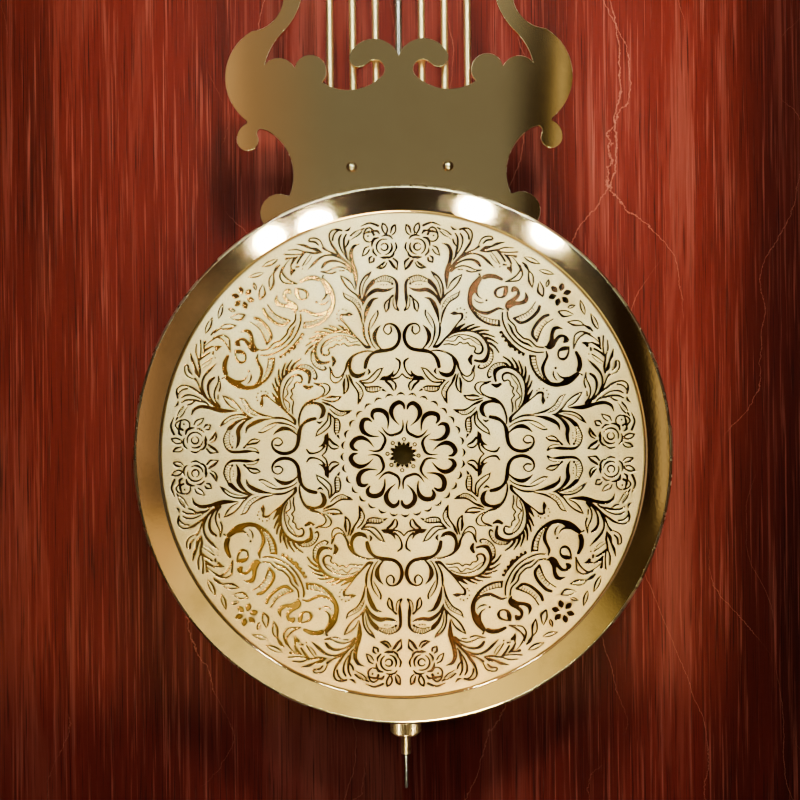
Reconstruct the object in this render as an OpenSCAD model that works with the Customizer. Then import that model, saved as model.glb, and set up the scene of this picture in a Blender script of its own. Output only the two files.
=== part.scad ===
// Longcase clock with a lyre pendulum, seen through its trunk door.
// X runs right, Y runs back and Z runs up; the origin is under the middle of the case, on the floor.

/* [Case] */
// Outside width of the trunk
trunk_w = 420; // [400:1:440]
// Depth of the trunk, from the wall to its front face
trunk_d = 215; // [205:1:235]
// Thickness of the case boards
wall = 18; // [16:0.5:20]
// Thickness of the back board
board_t = 12; // [10:0.5:13]
// Thickness of the doors and of the frames round them
frame_t = 20; // [18:0.5:22]
// How far the hood and the plinth stand out from the trunk
step_out = 30; // [26:1:34]
// Height of the plinth
plinth_h = 440; // [400:5:480]
// Height of the skirting
skirt_h = 110; // [90:5:130]
// How far the skirting stands out from the plinth
skirt_out = 15; // [12:1:20]
// Height of the moulding at the foot of the trunk
waist_h = 50; // [40:1:60]
// Height of the moulding under the hood
throat_h = 60; // [50:1:70]
// How far below the dial centre the hood starts
hood_drop = 185; // [183:1:190]
// Height of the hood carcase
hood_h = 489; // [480:1:520]
// How far the cornice stands out from the hood
cornice_out = 25; // [20:1:30]
// Height of the cornice
cornice_h = 60; // [50:1:70]
// Height of the arched pediment board
pediment_h = 56; // [40:1:70]

/* [Doors] */
// Width of the case's stile beside the trunk door
case_stile = 40; // [38:1:45]
// Height of the case's rail between the trunk door and the moulding above it
door_head = 11; // [8:1:20]
// Height of the lower rail of the case below the trunk door
door_sill = 85; // [80:1:90]
// Width of the stiles and rails of the trunk door
stile = 42; // [38:1:46]
// Width of the hood's front beside its door
hood_stile = 50; // [47:1:55]
// Gap round each door
door_gap = 2; // [1.5:0.1:3]
// Thickness of the door glass
glass_t = 3; // [2:0.5:4]
// Radius of the hinge knuckles
knuckle_r = 3.6; // [3:0.1:4]
// Radius of the hinge pins
hinge_pin_r = 1.5; // [1.2:0.1:2]
// Length of a hinge
hinge_l = 60; // [45:1:80]

/* [Dial] */
// Height of the dial centre above the floor
dial_z = 1686; // [1650:1:1720]
// Width of the square part of the dial
dial_w = 290; // [280:1:300]
// Radius of the arch above the dial
arch_r = 100; // [90:1:110]
// Thickness of the dial plate
dial_t = 2; // [1.5:0.1:3]
// Outer radius of the chapter ring
chapter_r = 138; // [130:1:139]
// Width of the chapter ring
chapter_band = 31; // [26:1:34]
// Length of the minute hand from its centre
minute_l = 124; // [110:1:128]
// Length of the hour hand from its centre
hour_l = 86; // [70:1:98]
// Length of the seconds hand from its centre
seconds_l = 22; // [18:1:24]

/* [Movement] */
// Distance between the movement plates
plate_gap = 60; // [58:0.5:62]
// Thickness of the movement plates
plate_t = 3; // [2.5:0.1:3.5]
// Width of the movement plates
plate_w = 116; // [112:1:124]
// How far the plates reach below the dial centre
plate_below = 76; // [74:1:80]
// How far the plates reach above the dial centre
plate_above = 92; // [86:1:100]
// Space between the dial and the front plate
motion_gap = 14; // [13.5:0.1:16]
// Module of the great wheel and the centre pinion
great_m = 0.62; // [0.6:0.01:0.64]
// Module of the centre wheel and the third pinion
centre_m = 0.7; // [0.68:0.01:0.72]
// Module of the third wheel and the escape pinion
third_m = 0.6; // [0.58:0.005:0.61]
// Module of the cannon wheel and the minute wheel
cannon_m = 0.75; // [0.72:0.01:0.76]
// Height of the seconds arbor above the dial centre
seconds_up = 40; // [39.2:0.2:40.8]
// Tip radius of the escape wheel
escape_r = 20; // [18.5:0.1:20]
// Running clearance of a pivot in its hole
run = 0.05; // [0.02:0.01:0.09]
// Radius of the barrel under its line
barrel_r = 20; // [18:0.5:21]

/* [Pendulum] */
// Length of the pendulum from the bend of its spring to the middle of its bob
pend_l = 994; // [985:1:1003]
// Distance from the back board to the middle of the rods
pend_back = 53; // [50:1:58]
// Outer radius of the bob
bob_r = 108; // [105:1:112]
// Radius of the engraved disc in the bob
disc_r = 95.2; // [92:0.2:97]
// Depth of the bob's shell
bob_d = 16; // [13:0.5:20]
// Radius of a pendulum rod
rod_r = 1.5; // [1.3:0.1:1.8]
// Distance between neighbouring rods
rod_pitch = 9.5; // [9:0.1:10]
// Thickness of the lyre plate
lyre_t = 2; // [1.5:0.1:3]
// Height of the lyre's rivets above the middle of the bob
rivet_up = 117; // [112:0.5:120]
// Radius of the rating nut
nut_r = 6.35; // [5.5:0.05:7]
// Height of the rating nut
nut_h = 6.2; // [5:0.1:8]

/* [Weight] */
// Radius of the driving weight
weight_r = 27; // [24:0.5:28]
// Height of the driving weight
weight_h = 190; // [160:5:220]
// Radius of the line
line_r = 0.8; // [0.6:0.05:1]
// How far the pulley hangs below the seatboard
pulley_drop = 80; // [70:1:100]

/* [Hidden] */

// Stations from front to back
hood_w = trunk_w + 2 * step_out;
plinth_w = trunk_w + 2 * (step_out - 5);
back_y = (trunk_d + step_out + cornice_out) / 2;
board_y = back_y - board_t;
trunk_y = back_y - trunk_d;
hood_y = trunk_y - step_out;
plinth_y = trunk_y - (step_out - 5);
frame_y = trunk_y + frame_t;
hood_frame_y = hood_y + frame_t;
dial_y = frame_y - 2;
front_y = dial_y + dial_t + motion_gap + plate_t;
rear_y = front_y + plate_gap;
pend_y = board_y - pend_back;
bridge_t = 6;
lyre_y = pend_y - bridge_t / 2;
bob_y = lyre_y - lyre_t - 1;

// Heights of the case
hood_z = dial_z - hood_drop;
hood_top = hood_z + hood_h;
cornice_z = hood_top - 15;
seat_t = 20;
seat_z = dial_z - plate_below;
door_z = plinth_h + door_sill;
door_h = hood_z - throat_h - door_head - door_z;
door_x = trunk_w / 2 - case_stile;
hood_door_x = hood_w / 2 - hood_stile;
rail_h = 20;
hood_door_z = hood_z + rail_h;
frieze_h = 27;
hood_door_h = hood_top - frieze_h - hood_door_z;
rabbet = 5;
inner_x = trunk_w / 2 - wall;
hood_inner_x = hood_w / 2 - wall;
arch_z = dial_z + dial_w / 2;

// Centres of the arbors, as distances from the dial centre in X and Z
escape_c = [0, seconds_up];
great_c = [0, -great_m * (96 + 8) / 2];
centre_third = centre_m * (60 + 8) / 2;
third_escape = third_m * (64 + 8) / 2;
third_up = (centre_third * centre_third - third_escape * third_escape + seconds_up * seconds_up)
    / (2 * seconds_up);
third_c = [sqrt(centre_third * centre_third - third_up * third_up), third_up];
pallet_c = escape_c + [0, escape_r * sqrt(2)];
minute_c = [cannon_m * 36, 0];
hour_m = minute_c.x / 39;
pivot_z = dial_z + pallet_c.y;
bob_z = pivot_z - pend_l;
great_z = dial_z + great_c.y;

// The line, its barrel and the pulley
line_c = barrel_r + line_r;
barrel_y = front_y + 12;
barrel_l = 33;
line_pitch = 2 * line_r + 0.1;
line_y = barrel_y + 5;
pulley_z = seat_z - pulley_drop;
weight_top = pulley_z - line_c - 14;
weight_z = weight_top - weight_h;

// Heights of the pendulum's pieces
bridge_h = 11;
rivet_z = bob_z + rivet_up;
lyre_top_z = bob_z + 301;
top_bridge_z = seat_z - 44;
nut_z = bob_z - bob_r - 2.5;

// Rounds of the small turned pieces
pivot_r = 1;
arbor_r = 1.6;

function wrap(a) = a - 360 * floor(a / 360);
function polar(r, a) = [r * cos(a), r * sin(a)];
function arc(c, r, a0, a1, n = 12) = [for (i = [0:n]) c + polar(r, a0 + (a1 - a0) * i / n)];

// Centre of the circle through three points
function centre_of(a, b, c) =
    let (d = 2 * (a.x * (b.y - c.y) + b.x * (c.y - a.y) + c.x * (a.y - b.y)),
        aa = a * a, bb = b * b, cc = c * c)
    [(aa * (b.y - c.y) + bb * (c.y - a.y) + cc * (a.y - b.y)) / d,
        (aa * (c.x - b.x) + bb * (a.x - c.x) + cc * (b.x - a.x)) / d];

// Points on the arc that runs from a through b to c
function bow(a, b, c, n = 8) =
    let (o = centre_of(a, b, c), a0 = atan2(a.y - o.y, a.x - o.x),
        full = wrap(atan2(c.y - o.y, c.x - o.x) - a0),
        part = wrap(atan2(b.y - o.y, b.x - o.x) - a0),
        sweep = part < full ? full : full - 360)
    [for (i = [0:n]) o + polar(norm(a - o), a0 + sweep * i / n)];

function both_sides(points) =
    concat(points, [for (i = [len(points) - 1:-1:0]) [-points[i].x, points[i].y]]);

// A slab between two depths, drawn as seen from the front
module slab(y0, y1) { translate([0, y1, 0]) rotate([90, 0, 0]) linear_extrude(y1 - y0) children(); }

// A board given by its two corners
module board(a, b) { translate(a) cube(b - a); }

// A round bar between two points
module bar(p, q, r) {
    d = q - p;
    translate(p) rotate([0, acos(d.z / norm(d)), atan2(d.y, d.x)]) cylinder(h = norm(d), r = r, $fn = 32);
}

// A disc on a front-to-back axis
module disc(y0, y1, r, at = [0, 0]) {
    translate([at.x, y1, at.y]) rotate([90, 0, 0]) cylinder(h = y1 - y0, r = r, $fn = 64);
}

// A shape at the dial centre, an arbor's centre away
module at(c) { translate([c.x, 0, dial_z + c.y]) children(); }

module mirrored() {
    children();
    mirror([1, 0, 0]) children();
}

// A moulding of a given profile round the front and both sides, mitred at the corners.
// The profile's points are [how far out, how high].
module moulding(profile, half_w, front, out) {
    intersection() {
        translate([-half_w - out, front, 0]) rotate([90, 0, 90]) linear_extrude(2 * (half_w + out))
            polygon([for (p = profile) [-p.x, p.y]]);
        translate([0, 0, -1]) linear_extrude(4000)
            polygon([[-half_w - out, front - out], [half_w + out, front - out], [half_w, front], [-half_w, front]]);
    }
    mirrored() intersection() {
        translate([half_w, back_y, 0]) rotate([90, 0, 0]) linear_extrude(back_y - front + out) polygon(profile);
        translate([0, 0, -1]) linear_extrude(4000)
            polygon([[half_w, front], [half_w + out, front - out], [half_w + out, back_y], [half_w, back_y]]);
    }
}

// The case: boards and mouldings that stand on the floor

module skirting() color("#4a1a10") {
    o = skirt_out;
    profile = concat([[0, 0], [o, 0], [o, skirt_h - 20]], arc([o, skirt_h - 8], 9, 270, 180, 6),
        [[5, skirt_h - 8], [5, skirt_h], [0, skirt_h]]);
    moulding(profile, plinth_w / 2, plinth_y, o);
}

module plinth_box() color("#5a2014") {
    foot = 12;
    x = plinth_w / 2;
    difference() {
        board([-x, plinth_y, foot], [x, plinth_y + frame_t, plinth_h]);
        translate([0, plinth_y, 0]) slab(-1, 4) polygon([
            [-x + 60, skirt_h + 50], [x - 60, skirt_h + 50], [x - 60, plinth_h - 50], [-x + 60, plinth_h - 50]]);
    }
    mirrored() board([x - wall, plinth_y + frame_t, foot], [x, board_y, plinth_h]);
    board([-x + wall, plinth_y + frame_t, skirt_h - 30], [x - wall, board_y, skirt_h - 30 + wall]);
}

// The back board widens behind the plinth and behind the hood, and has two holes for wall screws
screw_z = hood_z - 65;
screw_x = 120;
screw_r = 3;
module back_board() color("#7a2c1c") {
    x = trunk_w / 2;
    ear = hood_inner_x - 0.5;
    difference() {
        slab(board_y, back_y) polygon(both_sides([[plinth_w / 2, 12], [plinth_w / 2, plinth_h], [x, plinth_h],
            [x, hood_z], [ear, hood_z], [ear, hood_top - 1]]));
        for (side = [-1, 1]) disc(board_y - 1, back_y + 1, screw_r, [side * screw_x, screw_z]);
    }
}

module trunk_sides() color("#5a2014")
    mirrored() board([inner_x, frame_y, plinth_h], [trunk_w / 2, board_y, seat_z - seat_t]);

module trunk_front() color("#64261a") {
    x = trunk_w / 2;
    mirrored() board([door_x + door_gap, trunk_y, plinth_h], [x, frame_y, hood_z]);
    board([-door_x - door_gap, trunk_y, plinth_h], [door_x + door_gap, frame_y, door_z - door_gap]);
    board([-door_x - door_gap, trunk_y, door_z + door_h + door_gap], [door_x + door_gap, frame_y, hood_z]);
}

// From the wider plinth in to the trunk: a fillet, an ovolo and a cove
module waist_moulding() color("#5a2014") {
    o = step_out - 5;
    profile = concat([[0, plinth_h], [o, plinth_h], [o, plinth_h + 8]],
        arc([o - 8, plinth_h + 8], 8, 0, 90, 8),
        arc([o - 8, plinth_h + waist_h - 6], waist_h - 26, 270, 220, 8),
        [[3, plinth_h + waist_h], [0, plinth_h + waist_h]]);
    moulding(profile, trunk_w / 2, trunk_y, o);
}

// From the trunk out to the hood: a bead, a deep cove and the flat that the hood slides on
module throat_moulding() color("#5a2014") {
    z = hood_z - throat_h;
    o = step_out;
    profile = concat([[0, z]], arc([3, z + 4], 3, 270, 450, 8),
        arc([o - 3, z + 14], o - 7, 180, 96, 12), [[o, hood_z - 16], [o, hood_z], [0, hood_z]]);
    moulding(profile, trunk_w / 2, trunk_y, o);
}

// The seatboard rests on the trunk sides and has slots for the line
slot_r = 4;
bolt_x = plate_w / 2 - 10;
module seatboard() color("#6b3a20") difference() {
    board([-trunk_w / 2, frame_y + 8, seat_z - seat_t], [trunk_w / 2, rear_y + 20, seat_z]);
    for (side = [-1, 1]) {
        translate([side * line_c, line_y, seat_z - seat_t - 1]) cylinder(h = seat_t + 2, r = slot_r, $fn = 48);
        translate([side * bolt_x, (front_y + rear_y) / 2, seat_z - seat_t - 1])
            cylinder(h = seat_t + 2, r = 2 + run, $fn = 48);
    }
}

// One hinge: a plate on the edge of a board, with its share of the knuckle
module hinge_plate(axis, edge_x, z, back, fixed) {
    third = hinge_l / 3;
    spans = fixed ? [[0, third], [2 * third, hinge_l]] : [[third, 2 * third]];
    leaf = fixed ? [edge_x - 0.8, edge_x] : [edge_x, edge_x + 0.8];
    difference() {
        for (s = spans) {
            low = z - hinge_l / 2 + s[0] + 0.15;
            high = z - hinge_l / 2 + s[1] - 0.15;
            board([leaf[0], axis.y, low], [leaf[1], back, high]);
            translate([axis.x, axis.y, low]) cylinder(h = high - low, r = knuckle_r, $fn = 48);
        }
        if (!fixed) translate([axis.x, axis.y, z - hinge_l]) cylinder(h = 2 * hinge_l, r = hinge_pin_r + run, $fn = 48);
    }
    if (fixed) translate([axis.x, axis.y, z - hinge_l / 2 - 3]) cylinder(h = hinge_l + 6, r = hinge_pin_r, $fn = 48);
}

// Hinge axes: in the middle of the gap, a knuckle's radius in front of the door
trunk_axis = [door_x + door_gap / 2, trunk_y - knuckle_r - 0.3];
hood_axis = [hood_door_x + door_gap / 2, hood_y - knuckle_r - 0.3];
trunk_hinge_z = [door_z + 110, door_z + door_h - 110];
hood_hinge_z = [hood_door_z + 70, hood_door_z + hood_door_h - 70];

module trunk_hinge_plates() color("#b08d4a")
    for (z = trunk_hinge_z) hinge_plate(trunk_axis, door_x + door_gap, z, frame_y - 4, true);
module trunk_door_hinges() color("#b08d4a")
    for (z = trunk_hinge_z) hinge_plate(trunk_axis, door_x, z, frame_y - 4, false);
module hood_hinge_plates() color("#b08d4a")
    for (z = hood_hinge_z) hinge_plate(hood_axis, hood_door_x + door_gap, z, hood_frame_y + 9, true);
module hood_door_hinges() color("#b08d4a")
    for (z = hood_hinge_z) hinge_plate(hood_axis, hood_door_x, z, hood_frame_y - 4, false);

// The trunk door: a frame with an ovolo round a sheet of clear glass

glass_x = door_x - stile;
glass_z0 = door_z + stile + 13;
glass_z1 = door_z + door_h - stile - 13;

function box_points(x, z0, z1) = [[-x, z0], [x, z0], [x, z1], [-x, z1]];

// A stepped bead round a window, proud of a door's face
module sash_bead(x, z0, z1, y) for (step = [[9, 2.5], [5, 4.5]])
    slab(y - step[1], y) difference() {
        polygon(box_points(x + step[0], z0 - step[0], z1 + step[0]));
        polygon(box_points(x, z0, z1));
    }

module trunk_door_frame() color("#64261a") {
    difference() {
        slab(trunk_y, frame_y) polygon(box_points(door_x, door_z, door_z + door_h));
        slab(trunk_y - 1, frame_y + 1) polygon(box_points(glass_x, glass_z0, glass_z1));
        slab(frame_y - 12, frame_y + 1)
            polygon(box_points(glass_x + rabbet, glass_z0 - rabbet, glass_z1 + rabbet));
    }
    sash_bead(glass_x, glass_z0, glass_z1, trunk_y);
}

module trunk_door_glass() color("#c8d8d0", 0.3)
    slab(frame_y - 12, frame_y - 12 + glass_t)
        polygon(box_points(glass_x + rabbet - 0.3, glass_z0 - rabbet + 0.3, glass_z1 + rabbet - 0.3));

// A turned knob: base rose, neck and ball
module turned_knob(x, y, z, size) {
    translate([x, y, z]) rotate([90, 0, 0]) rotate_extrude($fn = 64)
        polygon(concat([[0, 0], [size, 0], [size, 1.5], [0.45 * size, 3]],
            [[0.35 * size, 0.9 * size]], arc([0, 1.7 * size], 0.85 * size, -60, 90, 12)));
}

module trunk_door_knob() color("#b08d4a")
    turned_knob(-door_x + stile / 2, trunk_y, door_z + door_h * 0.55, 7);
module hood_door_knob() color("#b08d4a")
    turned_knob(-hood_door_x + 20, hood_y, dial_z, 6);

// The hood, which slides forward off the throat moulding

module hood_sides() color("#5a2014") {
    x = hood_w / 2;
    inner = hood_door_x + door_gap;
    board([-x, hood_y, hood_z], [x, hood_frame_y + 10, hood_door_z - door_gap]);
    mirrored() {
        board([trunk_w / 2 + 0.5, hood_frame_y + 10, hood_z], [x, board_y - 1, hood_door_z - door_gap]);
        board([x - wall, hood_frame_y + 10, hood_door_z - door_gap], [x, board_y - 1, hood_top]);
    }
}

// Stiles behind the columns, and the frieze above the door
module hood_front() color("#64261a") {
    x = hood_w / 2;
    mirrored() board([hood_door_x + door_gap, hood_frame_y, hood_door_z - door_gap], [x, hood_frame_y + 10, hood_top]);
    board([-x, hood_y, hood_door_z + hood_door_h + door_gap], [x, hood_frame_y, hood_top]);
}

function arched(x, z0, z1, r) = concat([[-x, z0], [x, z0], [x, z1]], arc([0, z1], r, 0, 180, 32), [[-x, z1]]);

module hood_mask() color("#3a1a10") difference() {
    slab(dial_y - 10, dial_y - 4)
        polygon(box_points(hood_inner_x, hood_door_z - door_gap, hood_top));
    slab(dial_y - 11, dial_y) polygon(arched(dial_w / 2 - 9, dial_z - dial_w / 2 + 9, arch_z, arch_r - 6));
}

// Turned columns at the front corners, with their bases and capitals
column_x = hood_w / 2 - (hood_w / 2 - hood_door_x - door_gap) / 2;
module hood_columns() color("#6b2a1a") {
    z0 = hood_door_z - door_gap;
    h = hood_door_h + 2 * door_gap;
    r = 10;
    profile = concat([[0, 0], [r + 5, 0], [r + 5, 10]], arc([r + 1, 13], 4, -60, 60, 6), [[r + 1, 18]],
        [[r, 22], [r - 2, h - 26]], arc([r - 1, h - 22], 3, -60, 60, 6), [[r - 1, h - 17], [r + 2, h - 12],
        [r + 5, h - 10], [r + 5, h], [0, h]]);
    mirrored() translate([column_x, hood_frame_y - r - 5, z0]) rotate_extrude($fn = 64) polygon(profile);
}

module hood_roof() color("#4a1a10")
    board([-hood_w / 2, hood_y, hood_top], [hood_w / 2, board_y - 1, hood_top + 12]);

module cornice() color("#5a2014") {
    o = cornice_out;
    z = cornice_z;
    profile = concat([[0, z], [3, z], [3, z + 6]], arc([o - 4, z + 8], o - 9, 180, 96, 10),
        [[o - 4, z + cornice_h - 22]], arc([o - 8, z + cornice_h - 14], 8, -60, 0, 5),
        [[o, z + cornice_h - 10], [o, z + cornice_h], [0, z + cornice_h]]);
    moulding(profile, hood_w / 2, hood_y, o);
}

// A break-arch board behind the cornice, with a moulded edge
pediment_z = hood_top + 12;
top_y = hood_y + 14;
module pediment() color("#5a2014") {
    x = hood_w / 2 - 40;
    rise = cornice_z + cornice_h - pediment_z;
    outline = concat([[-x, 0], [x, 0], [x, rise + 16], [x * 0.62, rise + 16]],
        bow([x * 0.55, rise + 16], [0, rise + pediment_h], [-x * 0.55, rise + 16], 24),
        [[-x * 0.62, rise + 16], [-x, rise + 16]]);
    translate([0, 0, pediment_z]) slab(top_y, top_y + 16) polygon(outline);
}

module finials() color("#c8a24a") {
    profile = concat([[0, 0], [9, 0], [9, 4], [4, 8], [4, 14]], arc([0, 26], 13, -68, 62, 14),
        [[3, 42], [1.5, 56], [0, 58]]);
    x = hood_w / 2 - 18;
    z = cornice_z + cornice_h;
    mirrored() translate([x, hood_y + 18, pediment_z]) cylinder(h = z - pediment_z, r = 12, $fn = 48);
    mirrored() translate([x, hood_y + 18, z]) rotate_extrude($fn = 48) polygon(profile);
    translate([0, top_y + 8, z + pediment_h]) rotate_extrude($fn = 48) polygon(profile);
}

// The hood door: a frame with a break-arch window

module hood_door_frame() color("#64261a") difference() {
    z1 = hood_door_z + hood_door_h;
    slab(hood_y, hood_frame_y) polygon(box_points(hood_door_x, hood_door_z, z1));
    slab(hood_y - 1, hood_frame_y + 1) polygon(arched(dial_w / 2 - 6, dial_z - dial_w / 2 + 6, arch_z, arch_r - 3));
    slab(hood_frame_y - 8, hood_frame_y + 1)
        polygon(arched(dial_w / 2 - 6 + rabbet, dial_z - dial_w / 2 + 6 - rabbet, arch_z, arch_r - 3 + rabbet));
}

module hood_door_glass() color("#c8d8d0", 0.3) slab(hood_frame_y - 8, hood_frame_y - 8 + glass_t)
    polygon(arched(dial_w / 2 - 6.3 + rabbet, dial_z - dial_w / 2 + 6.3 - rabbet, arch_z, arch_r - 3.3 + rabbet));

// The pendulum

chops_h = 10;
strip_above = 15;
module suspension_spring() color("#8c9096") translate([0, pend_y, pivot_z]) {
    board([-0.15, -4.5, -chops_h - 2], [0.15, 4.5, strip_above]);
    difference() {
        board([-3, -5.5, -2 * chops_h], [3, 5.5, -chops_h]);
        board([-0.15, -4.5, -chops_h - 2], [0.15, 4.5, 0]);
    }
}

leader_r = 2.5;
module pendulum_leader() color("#c8a24a")
    bar([0, pend_y, top_bridge_z + bridge_h / 2], [0, pend_y, pivot_z - 2 * chops_h], leader_r);

brass_x = [for (side = [-1, 1], i = [1:3]) side * i * rod_pitch];
module brass_rods() color("#d9b866")
    for (x = brass_x) bar([x, pend_y, rivet_z - bridge_h / 2], [x, pend_y, top_bridge_z + bridge_h / 2], rod_r);

// The middle rod goes on through the bob and ends in the screw of the rating nut
screw_end = 29;
screw_core = 1.8 / 2;
module steel_rod() color("#a8a49c") {
    bar([0, pend_y, nut_z + 3], [0, pend_y, top_bridge_z - 0.2], rod_r);
    translate([0, pend_y, nut_z + 3]) rotate([180, 0, 0]) rotate_extrude($fn = 32)
        polygon(concat([[0, 0]], [[screw_core, 0]], arc([0, screw_end + 2], screw_core, 0, 90, 6)));
}

rivet_x = 2 * rod_pitch + 0.7;

// Bars that tie the rods together: under the leader, behind the lyre's top and behind its foot
module rod_bridges() color("#b8934a") difference() {
    w = 3 * rod_pitch + 5;
    for (z = [rivet_z, lyre_top_z, top_bridge_z])
        board([-w, pend_y - bridge_t / 2, z - bridge_h / 2], [w, pend_y + bridge_t / 2, z + bridge_h / 2]);
    for (x = brass_x) bar([x, pend_y, rivet_z - bridge_h], [x, pend_y, top_bridge_z + bridge_h], rod_r + run);
    bar([0, pend_y, rivet_z - bridge_h], [0, pend_y, top_bridge_z], rod_r + run);
    for (side = [-1, 1], z = [rivet_z, lyre_top_z])
        disc(lyre_y - 1, pend_y - rod_r - 0.3, 1 + run, [side * rivet_x, z]);
}

// Half of the lyre's outline, from the middle of its foot out and up the arm, then back down
// the arm's inner edge to the notch between the scrolls. Heights are above the bob's middle.
lyre_half = concat([[0, 84], [50, 84]],
    bow([56, 93.9], [55.2, 103.9], [45.9, 105.5]),
    bow([45.3, 105.6], [43.9, 117.6], [54.2, 132.4], 10),
    bow([57, 133.2], [58.3, 131.8], [57.9, 129.5], 4),
    bow([57.9, 129.5], [62, 124], [66.6, 129], 10),
    bow([66.6, 129], [65.9, 132], [62.4, 135.2], 5),
    bow([62.4, 136.2], [71.1, 154], [60.2, 172.9], 16),
    bow([60.2, 172.9], [50.3, 178], [46.9, 186]),
    bow([46.9, 186], [43.5, 235], [56, 289], 12),
    bow([56, 289], [68.5, 301], [57, 312], 12),
    bow([57, 312], [48.5, 308], [47.5, 296], 8),
    bow([47.5, 296], [37.5, 240], [39.7, 186], 12),
    bow([39.7, 186], [43, 178], [48.5, 171.2], 6),
    bow([48.5, 171.2], [52.8, 165], [54.9, 159.2], 5),
    bow([54.9, 159.2], [49.6, 161.9], [42.7, 157.8]),
    bow([42.6, 157.9], [34.5, 162.8], [31.5, 151.8], 12),
    bow([31.5, 151.8], [20.5, 148.5], [7.8, 153.4], 10),
    bow([7.8, 153.4], [6.2, 158.6], [13, 159.2]),
    bow([13, 159.2], [17.6, 157.9], [20.3, 162.6], 6),
    bow([20.3, 162.6], [11, 169.4], [0, 162.4], 12));

// The yoke that joins the tops of the two arms, with a small crest in its middle
yoke_half = concat([[0, 292]], bow([4, 292], [26, 289], [49, 299], 8),
    bow([49, 305], [30, 296], [14, 304], 8), bow([12, 305], [9, 313], [0, 318]));

module lyre_plate() color("#c8a24a") translate([0, 0, bob_z]) difference() {
    slab(lyre_y - lyre_t, lyre_y) union() {
        polygon(both_sides(lyre_half));
        polygon(both_sides(yoke_half));
    }
    for (side = [-1, 1], z = [rivet_up, lyre_top_z - bob_z])
        disc(lyre_y - lyre_t - 1, lyre_y + 1, 1 + run, [side * rivet_x, z]);
}

rivet_r = 2.2;
module lyre_rivets() color("#e8d8b0") for (side = [-1, 1], z = [rivet_z, lyre_top_z])
    translate([side * rivet_x, lyre_y - lyre_t, z]) {
        rotate([90, 0, 0]) rotate_extrude($fn = 48)
            polygon(concat([[0, 0]], arc([0, -1.2], rivet_r * 1.15, 28.3, 90, 8)));
        rotate([-90, 0, 0]) cylinder(h = lyre_t + 1, r = 1, $fn = 32);
    }

// The bob, turned on a front-to-back axis: heights in its profiles run from its back to its front
module turned(profile) translate([0, bob_y, bob_z]) rotate([90, 0, 0]) rotate_extrude($fn = 180) polygon(profile);

// The shell's polished rim falls a little from the disc outwards, then turns over at its edge
shell_t = 1.6;
rim_sink = 1.6;
rim_fall = 1.5;
rim_round = 3.8;
back_edge = 2;
module bob_shell() color("#d9b866") {
    seat = disc_r + 0.1;
    top = bob_d - rim_sink;
    brow = [bob_r - (bob_r - disc_r) * 0.35, top - rim_fall];
    middle = [(seat + brow.x) / 2, top - rim_fall / 3];
    shoulder = [(bob_r * 1.8 + brow.x) / 2.8, brow.y - rim_round];
    turned(concat([[bob_r, 0]],
        bow([bob_r, back_edge], shoulder, brow, 10),
        bow(brow, middle, [seat, top], 8),
        [[seat, top - 4], [seat + shell_t, top - 4]],
        bow([seat + shell_t, top - shell_t - 0.2], middle - [0, shell_t], brow - [0.6, shell_t + 0.1], 6),
        [shoulder - [1.4, 0.8], [bob_r - shell_t, back_edge], [bob_r - shell_t, 0]]));
}

disc_t = 1.5;
hole_r = 4;
module bob_disc() color("#ead9a0")
    turned([[hole_r, bob_d - 0.8 - disc_t], [disc_r, bob_d - 0.8 - disc_t], [disc_r, bob_d - 0.8], [hole_r, bob_d - 0.8]]);

module bob_lead() color("#70747a") turned([[hole_r + 2, 2.2], [disc_r - 6, 2.2], [disc_r - 6, bob_d - 1 - disc_t],
    [hole_r + 2, bob_d - 1 - disc_t]]);

// The back of the bob, with the two lugs that run on the middle rod
lug_w = 4;
module bob_back() color("#b8934a") {
    turned([[0, 0], [bob_r - shell_t - 1, 0], [bob_r - shell_t - 1, 2], [0, 2]]);
    difference() {
        for (span = [[-bob_r - 2, -bob_r + 28], [58, 80]])
            board([-lug_w, bob_y, bob_z + span[0]], [lug_w, pend_y + lug_w, bob_z + span[1]]);
        bar([0, pend_y, bob_z - bob_r - 3], [0, pend_y, bob_z + bob_r], rod_r + run);
    }
}

// Knurled nut with a chamfered underside and a sleeve, on the screw
sleeve_r = 1.95;
sleeve_h = 8;
flutes = 36;
flute_d = 0.3;
module rating_nut() color("#b08d4a") translate([0, pend_y, nut_z - nut_h]) difference() {
    core = nut_r - flute_d - 0.1;
    union() {
        translate([0, 0, 1.3]) linear_extrude(nut_h - 1.9) polygon([for (i = [0:2 * flutes - 1])
            polar(nut_r - (i % 2) * flute_d, i * 180 / flutes)]);
        rotate_extrude($fn = 72) polygon([[0, 0], [nut_r - 1.6, 0], [core, 1], [core, nut_h - 0.4],
            [core - 0.4, nut_h], [0, nut_h]]);
        translate([0, 0, -sleeve_h]) cylinder(h = sleeve_h + 1, r = sleeve_r, $fn = 48);
    }
    translate([0, 0, -sleeve_h - 1]) cylinder(h = sleeve_h + nut_h + 2, r = screw_core + run, $fn = 48);
}

// The movement

// Point of an epicycloid on a circle of radius r, from a rolling circle of radius q, at angle t
function epicycloid(r, q, t) = [(r + q) * cos(t) - q * cos((r + q) / q * t), (r + q) * sin(t) - q * sin((r + q) / q * t)];
function turn(p, a) = [p.x * cos(a) - p.y * sin(a), p.x * sin(a) + p.y * cos(a)];

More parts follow.
